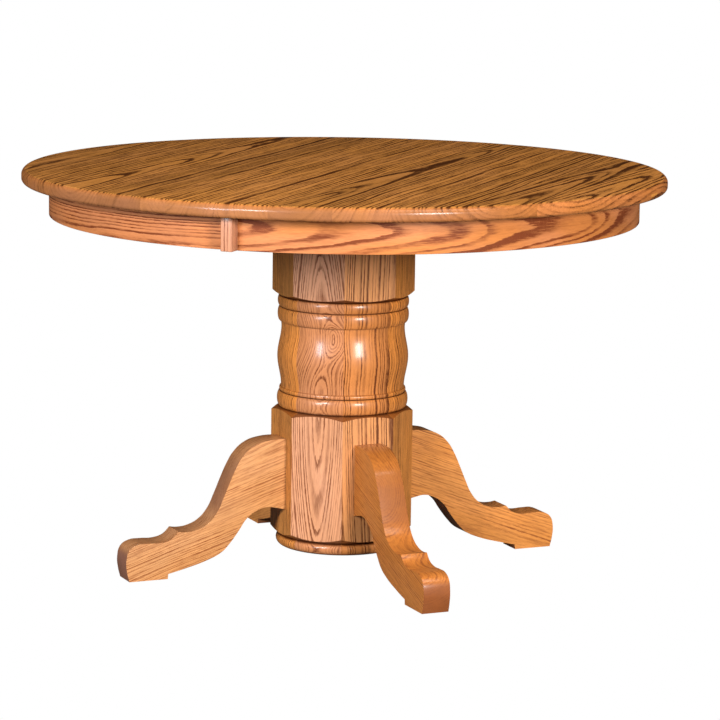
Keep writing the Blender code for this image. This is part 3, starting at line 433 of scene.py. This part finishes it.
def apron_profile():
    """The section of the bent apron, with its two lower arrises eased."""
    points = [(apron_inner, apron_high.z)]
    points.append((apron_radius, apron_high.z))
    for i in range(4):
        angle = math.pi / 2 * i / 3
        points.append((apron_radius - APRON_EASE + APRON_EASE * math.cos(angle),
                       apron_low.z + APRON_EASE - APRON_EASE * math.sin(angle)))
    points.append((apron_inner + APRON_EASE, apron_low.z))
    points.append((apron_inner, apron_low.z + APRON_EASE))
    points.append((apron_inner, apron_high.z))
    return points


def make_apron(side, pith_height, depth, start):
    """One half ring, notched at its end for the seam block."""
    name = "apron_ring_left" if side < 0 else "apron_ring_right"
    ring = turned(name, apron_profile(), TURNED_STEPS)
    rip(ring, (side * SEAM_HALF_GAP, 0, 0), (side, 0, 0), keep="before")
    edge = block_high.x + BLOCK_GAP
    ends = sorted((-side * 0.01, side * edge))
    reach = sorted((0.0, -side * 0.7))
    cut(ring, block("notch", (ends[0], reach[0], apron_low.z - 0.01),
                    (ends[1], reach[1], apron_high.z + 0.01)))

    def log_place(point, centre):
        angle = math.atan2(point.y, side * point.x)
        out = apron_radius - math.hypot(point.x, point.y) + depth
        return (point.z - pith_height, out, angle * apron_radius - start), 40 + side

    smooth(ring, 30.0)
    lay_grain(ring, log_place, lambda face: True)
    ring.data.materials.append(apron_oak[side])
    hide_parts("apron_left" if side < 0 else "apron_right")
    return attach(ring, "left_half" if side < 0 else "right_half")


def make_seam_block(side, name, node):
    """The upright block: a planed stick with every arris rounded."""
    stick = block(name, block_low, block_high)
    stick.data.transform(Matrix.Rotation(0 if side > 0 else math.pi, 4, "Z"))
    ease = stick.modifiers.new("ease", "BEVEL")
    ease.width = BLOCK_EASE
    ease.segments = 3
    finished(stick)

    def log_place(point, centre):
        return (side * point.x - BLOCK_PITH[0], side * point.y - BLOCK_PITH[1],
                point.z - BLOCK_PITH[2]), 50 + side

    smooth(stick, 40.0)
    lay_grain(stick, log_place, lambda face: True)
    stick.data.materials.append(block_oak)
    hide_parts(node)
    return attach(stick, "right_half" if side > 0 else "left_half")


make_apron(-1, pith_height=0.668, depth=0.024, start=0.30)
make_apron(1, pith_height=0.716, depth=0.045, start=0.10)
make_seam_block(1, "block_front", "seam_block_front")
make_seam_block(-1, "block_back", "seam_block_back")


# ---- Column ----
# Eight mitred staves of oak, 28 mm thick, glued up hollow and octagonal. The middle is then
# turned to beads, necks and a belly, and the foot to a ring. Alternate staves are bored for
# the feet's bolts.

FACE = 0.12537
CORNER = 0.1357
STAVE = 0.028
GROOVE = 0.1205
BEAD = 0.1253
NECK = 0.1177
BELLY = 0.1252
SHOULDER = 0.0085
UPPER_BLOCK = 0.5310
LOWER_BLOCK = 0.2990
LOWER_BLOCK_END = 0.0735
RING_HEIGHT = 0.024
RING_RADIUS = 0.1250
BOLT_LEVELS = (0.215, 0.160)
BOLT_BORE = 0.0046
BOLT_DEPTH = 0.064
stave_low, stave_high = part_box("column_stave_1")


def bead(top, bottom, edge, crown, steps=12):
    """Points over a rounded bead, from its upper edge to its lower edge."""
    half = (top - bottom) / 2
    turns = [math.pi * i / steps for i in range(steps + 1)]
    return [(edge + (crown - edge) * math.sin(turn), (top + bottom) / 2 + half * math.cos(turn))
            for turn in turns]


def column_profile():
    """The turning, from above the column down to the floor side of its ring."""
    clear = CORNER * 1.04
    beyond = (clear - CORNER) * SHOULDER / (CORNER - GROOVE)
    upper = UPPER_BLOCK - SHOULDER
    lower = LOWER_BLOCK + SHOULDER
    turning = upper - lower
    second = upper - 0.100 * turning
    neck = upper - 0.232 * turning
    belly_top = upper - 0.280 * turning
    belly_end = lower + 0.186 * turning
    ring_top = stave_low.z + RING_HEIGHT
    points = [(0.0, stave_high.z), (clear, stave_high.z), (clear, UPPER_BLOCK + beyond)]
    points += bead(upper, second, GROOVE, BEAD)
    points += bead(second - 0.0004, neck, GROOVE, BEAD)[:-1]
    points.append((NECK + 0.0008, neck))
    for i in range(29):
        swell = 0.5 - 0.5 * math.cos(2 * math.pi * i / 28)
        points.append((NECK + (BELLY - NECK) * swell, belly_top + (belly_end - belly_top) * i / 28))
    points += bead(lower + 0.180 * turning, lower + 0.1426 * turning, NECK + 0.0010, GROOVE + 0.0006, 8)
    points += bead(lower + 0.142 * turning, lower + 0.0004, GROOVE - 0.001, BEAD)
    points += [(GROOVE, lower), (clear, LOWER_BLOCK - beyond), (clear, LOWER_BLOCK_END + beyond)]
    points.append((GROOVE + 0.002, ring_top + 0.0008))
    points += bead(ring_top, stave_low.z, RING_RADIUS - RING_HEIGHT / 2, RING_RADIUS, 16)
    points.append((0.0, stave_low.z))
    return points


def make_stave(name, bored):
    """One stave facing +X: the mitred blank kept inside the turning."""
    slope = math.tan(math.pi / 8)
    trim = 0.00006
    inner = FACE - STAVE
    shape = bmesh.new()
    section = [(inner, -inner * slope + trim), (FACE, -FACE * slope + trim),
               (FACE, FACE * slope - trim), (inner, inner * slope - trim)]
    ends = []
    for z in (stave_low.z, stave_high.z):
        ends.append([shape.verts.new((x, y, z)) for x, y in section])
    shape.faces.new(ends[0][::-1])
    shape.faces.new(ends[1])
    for i in range(4):
        j = (i + 1) % 4
        shape.faces.new((ends[0][i], ends[0][j], ends[1][j], ends[1][i]))
    bmesh.ops.recalc_face_normals(shape, faces=shape.faces)
    stave = add_piece(name, shape)
    turning = turned("turning", column_profile(), TURNED_STEPS)
    turning.data.transform(Matrix.Rotation(math.pi / TURNED_STEPS, 4, "Z"))
    cut(stave, turning, "INTERSECT")
    if bored:
        for level in BOLT_LEVELS:
            cut(stave, dowel("bit", BOLT_BORE, (inner - 0.01, 0, level), (FACE + 0.01, 0, level), 24))
    return smooth(stave, 28.0)


# For each stave: how far to one side and how far inside its face the pith lay, the height its
# log was widest at, and its ring width, bow and waver.
STAVE_LOGS = [(0.090, 0.030, 0.30, 3.8, 0.00005, 1.5), (-0.075, 0.040, 0.40, 5.0, 0.0001, 2.5),
              (0.020, 0.020, 0.35, 4.6, 0.0003, 3.0), (0.085, 0.020, 0.42, 5.4, 0.0001, 2.0),
              (-0.012, 0.018, 0.30, 4.8, 0.0004, 3.0), (-0.095, 0.030, 0.40, 3.8, 0.00005, 1.5),
              (0.002, 0.022, 0.345, 4.2, 0.00022, 1.0), (0.078, 0.016, 0.44, 7.5, 0.0001, 1.4)]
# A knot high on the belly of stave 7 bends the pith aside and swells its rings into an eye.
KNOTTED_STAVE = 7
KNOT_SIDE = 0.025
KNOT_HEIGHT = 0.452
KNOT_REACH = 0.021
KNOT_SWELL = 0.013
KNOT_BEND = 0.055
# Staves 7 and 8 face the soft boxes: their darker copies of the stave oak, pinker on stave 7, and darker
# turned tints are painted shade.
SHADED_FRONT_STAVE_OAK = {7: ((0.66, 0.300, 0.145), (0.20, 0.060, 0.020), (0.68, 0.330, 0.190), (0.85, 0.72, 0.55)),
               8: ((0.67, 0.280, 0.095), (0.13, 0.034, 0.007), (0.69, 0.300, 0.120), (0.86, 0.72, 0.52))}
OTHER_STAVES = ((0.73, 0.272, 0.055), (0.13, 0.036, 0.007), (0.75, 0.300, 0.075), (1.0, 0.94, 0.90))

plain_stave = make_stave("stave_plain", False)
bored_stave = make_stave("stave_bored", True)
for number in range(1, 9):
    pith, depth, widest, ring_width, bow, waver = STAVE_LOGS[number - 1]
    source = plain_stave if number % 2 else bored_stave
    stave = bpy.data.objects.new(f"stave_{number}", source.data.copy())
    bpy.context.scene.collection.objects.link(stave)

    def log_place(point, centre):
        side = pith
        out = point.x - FACE + depth
        if number == KNOTTED_STAVE:
            away = math.hypot(point.y - KNOT_SIDE, point.z - KNOT_HEIGHT)
            out -= KNOT_SWELL * math.exp(-(away / KNOT_REACH) ** 2)
            side += KNOT_SIDE * math.exp(-((point.z - KNOT_HEIGHT) / KNOT_BEND) ** 2)
        return (point.y - side, out, point.z - widest), 60 + number

    lay_grain(stave, log_place, lambda face: face.center.x > FACE - 0.00005)
    stave.data.transform(Matrix.Rotation(math.radians(45.0 * (number - 1)), 4, "Z"))
    late, early, flush, turned_tint = SHADED_FRONT_STAVE_OAK.get(number, OTHER_STAVES)
    stave.data.materials.clear()
    stave.data.materials.append(make_oak(
        f"stave_oak_{number}", late, early, flush, (0.42, 0.34, 0.28), turned_tint,
        **{"Ring Width": ring_width, "Taper": 0.004, "Bow": bow, "Waver": waver, "Fleck": 0.18,
           "Tone Spread": 0.0, "Ring Darkness": 1.45, "Lines": 0.12, "Shaped Figure": 0.72}))
    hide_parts(f"column_stave_{number}")
    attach(stave, "pedestal")
for blank in (plain_stave, bored_stave):
    bpy.data.objects.remove(blank, do_unlink=True)


# ---- Feet ----
# Four feet, band-sawn from 53 mm oak with the grain running down towards the toe. The cheeks'
# long edges are rounded over, and a low pad is left under each toe for a nail-on glide.

# The outline from the upper corner at the column, over the top, round the toe and back along
# the underside, as shares of the length and the height; the last entry tells a curve from a corner.
FOOT_OUTLINE = [
    (0.000, 1.000, False), (0.108, 0.996, True), (0.202, 0.963, True), (0.274, 0.888, True),
    (0.318, 0.800, True), (0.356, 0.697, True), (0.395, 0.583, True), (0.438, 0.472, True),
    (0.493, 0.397, True), (0.562, 0.356, True), (0.630, 0.345, True), (0.676, 0.352, False),
    (0.718, 0.302, True), (0.784, 0.279, True), (0.862, 0.281, True), (0.931, 0.276, True),
    (0.981, 0.238, True), (1.000, 0.158, True), (0.995, 0.070, True), (0.981, 0.000, False),
    (0.743, 0.000, False), (0.740, 0.038, False), (0.634, 0.069, True), (0.489, 0.122, True),
    (0.402, 0.174, True), (0.355, 0.232, True), (0.296, 0.327, True), (0.249, 0.410, True),
    (0.183, 0.469, True), (0.121, 0.489, True), (0.064, 0.479, True), (0.000, 0.460, False),
]
FOOT_LENGTH = 0.3204
FOOT_HEIGHT = 0.2540
FOOT_THICKNESS = 0.0528
FOOT_EDGE = 0.0060
UNDERSIDE_SHARE = 0.35
PAD_BACK = 0.745
PAD_LIFT = 0.0008
FOOT_START = FACE + 0.0003
GRAIN_SLOPE = math.radians(19.0)
RECESS_DEPTH = 0.0053
RECESS_RADIUS = 0.0113
NAIL_BORE = 0.0018
NAIL_DEPTH = 0.0193


def foot_blank():
    """The band-sawn blank, standing along +X with its end on the column."""
    curve = bpy.data.curves.new("foot_outline", "CURVE")
    curve.dimensions = "2D"
    curve.fill_mode = "BOTH"
    curve.extrude = FOOT_THICKNESS / 2
    curve.resolution_u = 5
    spline = curve.splines.new("BEZIER")
    spline.bezier_points.add(len(FOOT_OUTLINE) - 1)
    for point, (along, up, curved) in zip(spline.bezier_points, FOOT_OUTLINE):
        point.co = (along * FOOT_LENGTH, up * (FOOT_HEIGHT - PAD_LIFT), 0.0)
        point.handle_left_type = "AUTO" if curved else "VECTOR"
        point.handle_right_type = "AUTO" if curved else "VECTOR"
    spline.use_cyclic_u = True
    drawn = bpy.data.objects.new("foot_drawn", curve)
    bpy.context.scene.collection.objects.link(drawn)
    depsgraph = bpy.context.evaluated_depsgraph_get()
    depsgraph.update()
    shape = bmesh.new()
    shape.from_mesh(bpy.data.meshes.new_from_object(drawn.evaluated_get(depsgraph)))
    bpy.data.objects.remove(drawn, do_unlink=True)
    bmesh.ops.remove_doubles(shape, verts=shape.verts, dist=0.000001)
    bmesh.ops.recalc_face_normals(shape, faces=shape.faces)
    bmesh.ops.dissolve_limit(shape, angle_limit=math.radians(0.3), verts=[], edges=shape.edges[:])
    stand = Matrix.Translation((FOOT_START, 0, PAD_LIFT)) @ Matrix.Rotation(math.pi / 2, 4, "X")
    bmesh.ops.transform(shape, matrix=stand, verts=shape.verts)
    return add_piece("foot", shape)


def round_cheeks(foot):
    """Round the long edges, less along the underside, and not at the column or on the pad."""
    shape = bmesh.new()
    shape.from_mesh(foot.data)
    weights = shape.edges.layers.float.new("bevel_weight_edge")
    for edge in shape.edges:
        first, second = (end.co for end in edge.verts)
        on_cheek = abs(first.y) > FOOT_THICKNESS / 2 - 0.0001 and first.y * second.y > 0
        at_column = max(first.x, second.x) < FOOT_START + 0.0001
        on_pad = max(first.z, second.z) < PAD_LIFT + 0.0001
        under = True
        for end in (first, second):
            along = (end.x - FOOT_START) / FOOT_LENGTH
            up = (end.z - PAD_LIFT) / FOOT_HEIGHT
            under = under and along < PAD_BACK and up < max(0.52 - 0.62 * along, 0.16)
        if on_cheek and not at_column and not on_pad:
            edge[weights] = UNDERSIDE_SHARE if under else 1.0
    shape.to_mesh(foot.data)
    shape.free()
    rounding = foot.modifiers.new("round", "BEVEL")
    rounding.width = FOOT_EDGE
    rounding.segments = 5
    rounding.limit_method = "WEIGHT"
    return finished(foot)


foot_blank_piece = round_cheeks(foot_blank())
for level in BOLT_LEVELS:
    cut(foot_blank_piece, dowel("bit", BOLT_BORE, (FACE - 0.02, 0, level),
                                (FACE + BOLT_DEPTH, 0, level), 24))
glide_low, glide_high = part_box("foot_glide_right")
glide_out = ((glide_low + glide_high) / 2).to_2d().length
cut(foot_blank_piece, dowel("recess", RECESS_RADIUS, (glide_out, 0, -0.01),
                            (glide_out, 0, RECESS_DEPTH)))
cut(foot_blank_piece, dowel("nail_hole", NAIL_BORE, (glide_out, 0, 0.004),
                            (glide_out, 0, NAIL_DEPTH), 12))
smooth(foot_blank_piece, 40.0)

# Angle round the column, the pith's place from the middle of the foot's end (up across the grain
# and to the side), and the colour of the late wood: darker on the front foot as painted shade,
# bluer on the left foot as painted cool light.
FEET = [("right", 45.0, -0.035, 0.030, (0.71, 0.272, 0.060)),
        ("back", 135.0, 0.090, 0.045, (0.68, 0.265, 0.062)),
        ("left", 225.0, 0.110, 0.060, (0.66, 0.300, 0.105)),
        ("front", 315.0, 0.095, -0.030, (0.57, 0.188, 0.030))]
for side, angle, pith_up, pith_side, late in FEET:
    foot = bpy.data.objects.new(f"foot_sawn_{side}", foot_blank_piece.data.copy())
    bpy.context.scene.collection.objects.link(foot)

    def log_place(point, centre):
        out = point.x - FOOT_START
        rise = point.z - FOOT_HEIGHT / 2
        along = out * math.cos(GRAIN_SLOPE) - rise * math.sin(GRAIN_SLOPE)
        up = out * math.sin(GRAIN_SLOPE) + rise * math.cos(GRAIN_SLOPE)
        return (up - pith_up, point.y - pith_side, along), 80 + angle / 45

    lay_grain(foot, log_place, lambda face: abs(face.normal.y) > 0.7)
    foot.data.transform(Matrix.Rotation(math.radians(angle), 4, "Z"))
    foot.data.materials.clear()
    # The end tint darkens steep upper faces and toes as soaked stain; its raised blue is a painted sheen.
    foot.data.materials.append(make_oak(
        f"foot_oak_{side}", late, (0.27, 0.075, 0.015), (late[0], late[1] * 1.1, late[2] * 1.4),
        (0.50, 0.44, 0.60), (0.90, 0.88, 0.95), lacquer=0.60,
        **{"Ring Width": 4.4, "Taper": 0.02, "Waver": 4.0, "Fleck": 0.36, "Tone Spread": 0.0,
           "Ring Darkness": 0.70, "Lines": 0.30}))
    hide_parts(f"foot_{side}")
    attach(foot, "pedestal")
bpy.data.objects.remove(foot_blank_piece, do_unlink=True)


# ---- Slides, cleats and plates ----
# Planed beech runners and cleats, left unstained under a thin sealer, with zinc-plated steel
# racks and pinions let into them. Birch plywood plates close the hollow column.

def make_bare_wood(name, along_axis, pale, dark, rough):
    """Close-grained wood with short flecks along its length."""
    material = bpy.data.materials.new(name)
    material.use_nodes = True
    tree = material.node_tree
    shader = tree.nodes["Principled BSDF"]
    place = add_node(tree, "ShaderNodeTexCoord").outputs["Object"]
    stretch = [420.0, 420.0, 420.0]
    stretch["XYZ".index(along_axis)] = 22.0
    scaled = add_node(tree, "ShaderNodeVectorMath", {0: place, 1: stretch}, operation="MULTIPLY").outputs[0]
    fibre = add_node(tree, "ShaderNodeTexNoise", {"Vector": scaled, "Scale": 1.0, "Detail": 3.0,
                     "Roughness": 0.6}).outputs["Fac"]
    broad = add_node(tree, "ShaderNodeTexNoise", {"Vector": scaled, "Scale": 0.09, "Detail": 2.0,
                     "Distortion": 0.6}).outputs["Fac"]
    mixed = calc(tree, "ADD", calc(tree, "MULTIPLY", ramp(tree, fibre, 0.40, 0.68), 0.55),
                 calc(tree, "MULTIPLY", ramp(tree, broad, 0.38, 0.66), 0.45))
    colour = add_node(tree, "ShaderNodeMix", {"Factor": mixed, 6: (*pale, 1), 7: (*dark, 1)},
                      data_type="RGBA").outputs[2]
    bump = add_node(tree, "ShaderNodeBump", {"Height": fibre, "Distance": 0.0002, "Strength": 0.3})
    tree.links.new(colour, shader.inputs["Base Color"])
    tree.links.new(calc(tree, "MULTIPLY_ADD", fibre, 0.2, rough), shader.inputs["Roughness"])
    tree.links.new(bump.outputs[0], shader.inputs["Normal"])
    return material


def finish_node(name, material):
    """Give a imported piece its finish."""
    for mesh_slot in nodes[name].material_slots:
        mesh_slot.material = material


beech_along_x = make_bare_wood("runner_beech", "X", (0.62, 0.43, 0.25), (0.44, 0.27, 0.13), 0.42)
beech_along_y = make_bare_wood("cleat_beech", "Y", (0.60, 0.41, 0.24), (0.42, 0.26, 0.13), 0.45)
for name in nodes:
    if "runner" in name or "alignment_pin" in name:
        finish_node(name, beech_along_x)
    if "cleat_left" in name or "cleat_right" in name:
        finish_node(name, beech_along_y)


def make_plywood():
    """Birch plywood: pale face veneers, and the darker end-grain plies between them."""
    material = bpy.data.materials.new("birch_plywood")
    material.use_nodes = True
    tree = material.node_tree
    shader = tree.nodes["Principled BSDF"]
    place = add_node(tree, "ShaderNodeTexCoord").outputs["Object"]
    height = add_node(tree, "ShaderNodeSeparateXYZ", {0: place}).outputs[2]
    ply = ramp(tree, calc(tree, "PINGPONG", height, 0.0015), 0.0005, 0.0010)
    scaled = add_node(tree, "ShaderNodeVectorMath", {0: place, 1: (300.0, 14.0, 300.0)},
                      operation="MULTIPLY").outputs[0]
    fibre = add_node(tree, "ShaderNodeTexNoise", {"Vector": scaled, "Scale": 1.0,
                     "Detail": 3.0}).outputs["Fac"]
    shade = calc(tree, "MULTIPLY", calc(tree, "MULTIPLY_ADD", ply, 0.5, 0.5), ramp(tree, fibre, 0.3, 0.75))
    colour = add_node(tree, "ShaderNodeMix", {"Factor": shade, 6: (0.64, 0.47, 0.29, 1),
                      7: (0.42, 0.27, 0.14, 1)}, data_type="RGBA").outputs[2]
    bump = add_node(tree, "ShaderNodeBump", {"Height": fibre, "Distance": 0.0002, "Strength": 0.3})
    tree.links.new(colour, shader.inputs["Base Color"])
    tree.links.new(calc(tree, "MULTIPLY_ADD", fibre, 0.15, 0.55), shader.inputs["Roughness"])
    tree.links.new(bump.outputs[0], shader.inputs["Normal"])
    return material


birch_plywood = make_plywood()
for name in ("column_top_plate", "column_bottom_plate"):
    finish_node(name, birch_plywood)


# ---- Steel and glides ----
# Racks, pinions, bolts and nuts are zinc-plated steel. The locks are stamped from dark
# phosphated steel, and the glides are moulded nylon on a nail.

def make_steel(name, bright, dull, rough):
    """Plated steel with a mottled, slightly scuffed surface."""
    material = bpy.data.materials.new(name)
    material.use_nodes = True
    tree = material.node_tree
    shader = tree.nodes["Principled BSDF"]
    place = add_node(tree, "ShaderNodeTexCoord").outputs["Object"]
    mottle = add_node(tree, "ShaderNodeTexNoise", {"Vector": place, "Scale": 260.0, "Detail": 4.0,
                      "Roughness": 0.65}).outputs["Fac"]
    scuff = add_node(tree, "ShaderNodeTexNoise", {"Vector": place, "Scale": 1900.0,
                     "Detail": 2.0}).outputs["Fac"]
    colour = add_node(tree, "ShaderNodeMix", {"Factor": ramp(tree, mottle, 0.36, 0.66), 6: (*bright, 1),
                      7: (*dull, 1)}, data_type="RGBA").outputs[2]
    bump = add_node(tree, "ShaderNodeBump", {"Height": scuff, "Distance": 0.00005, "Strength": 0.3})
    tree.links.new(colour, shader.inputs["Base Color"])
    tree.links.new(calc(tree, "MULTIPLY_ADD", mottle, 0.3, rough), shader.inputs["Roughness"])
    tree.links.new(bump.outputs[0], shader.inputs["Normal"])
    shader.inputs["Metallic"].default_value = 1.0
    return material


zinc_steel = make_steel("zinc_plated_steel", (0.66, 0.66, 0.62), (0.50, 0.50, 0.50), 0.22)
dark_steel = make_steel("dark_phosphated_steel", (0.16, 0.16, 0.17), (0.09, 0.09, 0.10), 0.34)
for name in nodes:
    if name.startswith(("rack_", "pinion_", "foot_bolt", "cleat_bolt")):
        finish_node(name, zinc_steel)
    if name.startswith("lock_"):
        finish_node(name, dark_steel)

glide_nylon = bpy.data.materials.new("glide_nylon")
glide_nylon.use_nodes = True
tree = glide_nylon.node_tree
place = add_node(tree, "ShaderNodeTexCoord").outputs["Object"]
scuff = add_node(tree, "ShaderNodeTexNoise", {"Vector": place, "Scale": 700.0, "Detail": 3.0}).outputs["Fac"]
worn = add_node(tree, "ShaderNodeMix", {"Factor": ramp(tree, scuff, 0.4, 0.7), 6: (0.045, 0.036, 0.030, 1),
                7: (0.09, 0.075, 0.065, 1)}, data_type="RGBA").outputs[2]
shader = tree.nodes["Principled BSDF"]
tree.links.new(worn, shader.inputs["Base Color"])
tree.links.new(calc(tree, "MULTIPLY_ADD", scuff, 0.3, 0.38), shader.inputs["Roughness"])
for side, *_ in FEET:
    finish_node(f"foot_glide_{side}", glide_nylon)


# ---- Studio ----
# A white background and a white floor that is clear from below. There is a soft box on either
# side of the camera, a cool window beside the left one, a larger box high on the right, and a
# weak fill from all round.

scene = bpy.context.scene
scene.view_settings.view_transform = "Standard"
sheet = bmesh.new()
bmesh.ops.create_grid(sheet, x_segments=1, y_segments=1, size=30.0)
floor = add_piece("studio_floor", sheet)
floor_paint = bpy.data.materials.new("floor_paint")
floor_paint.use_nodes = True
tree = floor_paint.node_tree
tree.nodes.clear()
seen = add_node(tree, "ShaderNodeLightPath").outputs["Is Camera Ray"]
speckle = add_node(tree, "ShaderNodeTexNoise", {"Scale": 40.0, "Detail": 2.0}).outputs["Fac"]
pale = add_node(tree, "ShaderNodeMix", {"Factor": speckle, 6: (0.10, 0.10, 0.10, 1),
                7: (0.12, 0.12, 0.12, 1)}, data_type="RGBA").outputs[2]
paint = add_node(tree, "ShaderNodeBsdfDiffuse", {"Color": pale}).outputs[0]
glow = add_node(tree, "ShaderNodeEmission", {"Color": (1, 1, 1, 1), "Strength": 1.0}).outputs[0]
mixed = add_node(tree, "ShaderNodeMixShader", {0: seen, 1: paint, 2: glow}).outputs[0]
below = add_node(tree, "ShaderNodeNewGeometry").outputs["Backfacing"]
clear = add_node(tree, "ShaderNodeBsdfTransparent").outputs[0]
mixed = add_node(tree, "ShaderNodeMixShader", {0: below, 1: mixed, 2: clear}).outputs[0]
tree.links.new(mixed, add_node(tree, "ShaderNodeOutputMaterial").inputs[0])
floor.data.materials.append(floor_paint)

world = bpy.data.worlds.new("studio")
scene.world = world
world.use_nodes = True
tree = world.node_tree
tree.nodes.clear()
ray = add_node(tree, "ShaderNodeLightPath").outputs
fill = add_node(tree, "ShaderNodeBackground", {"Color": (1.0, 0.97, 0.93, 1), "Strength": 0.17}).outputs[0]
dim = add_node(tree, "ShaderNodeBackground", {"Color": (1.0, 0.80, 0.45, 1), "Strength": 0.03}).outputs[0]
white = add_node(tree, "ShaderNodeBackground", {"Color": (1, 1, 1, 1), "Strength": 1.0}).outputs[0]
around = add_node(tree, "ShaderNodeMixShader", {0: ray["Is Glossy Ray"], 1: fill, 2: dim}).outputs[0]
mixed = add_node(tree, "ShaderNodeMixShader", {0: ray["Is Camera Ray"], 1: around, 2: white}).outputs[0]
tree.links.new(mixed, add_node(tree, "ShaderNodeOutputWorld").inputs[0])

CAMERA_SWING = math.radians(21.75)
CAMERA_DISTANCE = 6.14
CAMERA_HEIGHT = 1.44
LENS_SHIFT = 1 / 24
AIM_HEIGHT = 0.45


def add_soft_box(name, swing, lift, distance, size, power, colour):
    """A square soft box that faces the column, placed by its angle from the camera's side."""
    lamp = bpy.data.lights.new(name, "AREA")
    lamp.shape = "RECTANGLE"
    lamp.size, lamp.size_y = size
    lamp.energy = power
    lamp.color = colour
    made = bpy.data.objects.new(name, lamp)
    scene.collection.objects.link(made)
    turn = CAMERA_SWING + math.radians(swing)
    level = math.cos(math.radians(lift)) * distance
    made.location = (level * math.sin(turn), -level * math.cos(turn),
                     AIM_HEIGHT + distance * math.sin(math.radians(lift)))
    made.rotation_euler = (Vector((0, 0, AIM_HEIGHT)) - made.location).to_track_quat("-Z", "Y").to_euler()
    return made


add_soft_box("soft_box_left", -31.0, 21.5, 5.0, (0.6, 0.6), 150.0, (0.98, 0.98, 1.0))
add_soft_box("window_left", -42.0, 12.5, 5.0, (0.7, 0.8), 110.0, (0.80, 0.89, 1.0))
add_soft_box("soft_box_right", 29.0, 13.4, 5.0, (1.0, 1.0), 245.0, (1.0, 0.98, 0.95))
add_soft_box("soft_box_above", 42.0, 56.0, 4.0, (2.0, 2.0), 66.0, (1.0, 0.92, 0.82))

lens = bpy.data.cameras.new("camera")
lens.sensor_width = 36.0
lens.lens = 162.75
lens.shift_x = -LENS_SHIFT
lens.shift_y = LENS_SHIFT
lens.clip_end = 100.0
camera = bpy.data.objects.new("camera", lens)
scene.collection.objects.link(camera)
yaw = CAMERA_SWING + math.radians(-0.853)
pitch = math.radians(10.176)
roll = math.radians(0.895)
ahead = Vector((-math.sin(yaw) * math.cos(pitch), math.cos(yaw) * math.cos(pitch), -math.sin(pitch)))
level_right = Vector((math.cos(yaw), math.sin(yaw), 0.0))
level_up = level_right.cross(ahead)
right = level_right * math.cos(roll) + level_up * math.sin(roll)
up = level_up * math.cos(roll) - level_right * math.sin(roll)
facing = Matrix((right, up, -ahead)).transposed()
stand = Vector((CAMERA_DISTANCE * math.sin(CAMERA_SWING), -CAMERA_DISTANCE * math.cos(CAMERA_SWING),
                CAMERA_HEIGHT))
camera.matrix_world = Matrix.Translation(stand) @ facing.to_4x4()
scene.camera = camera
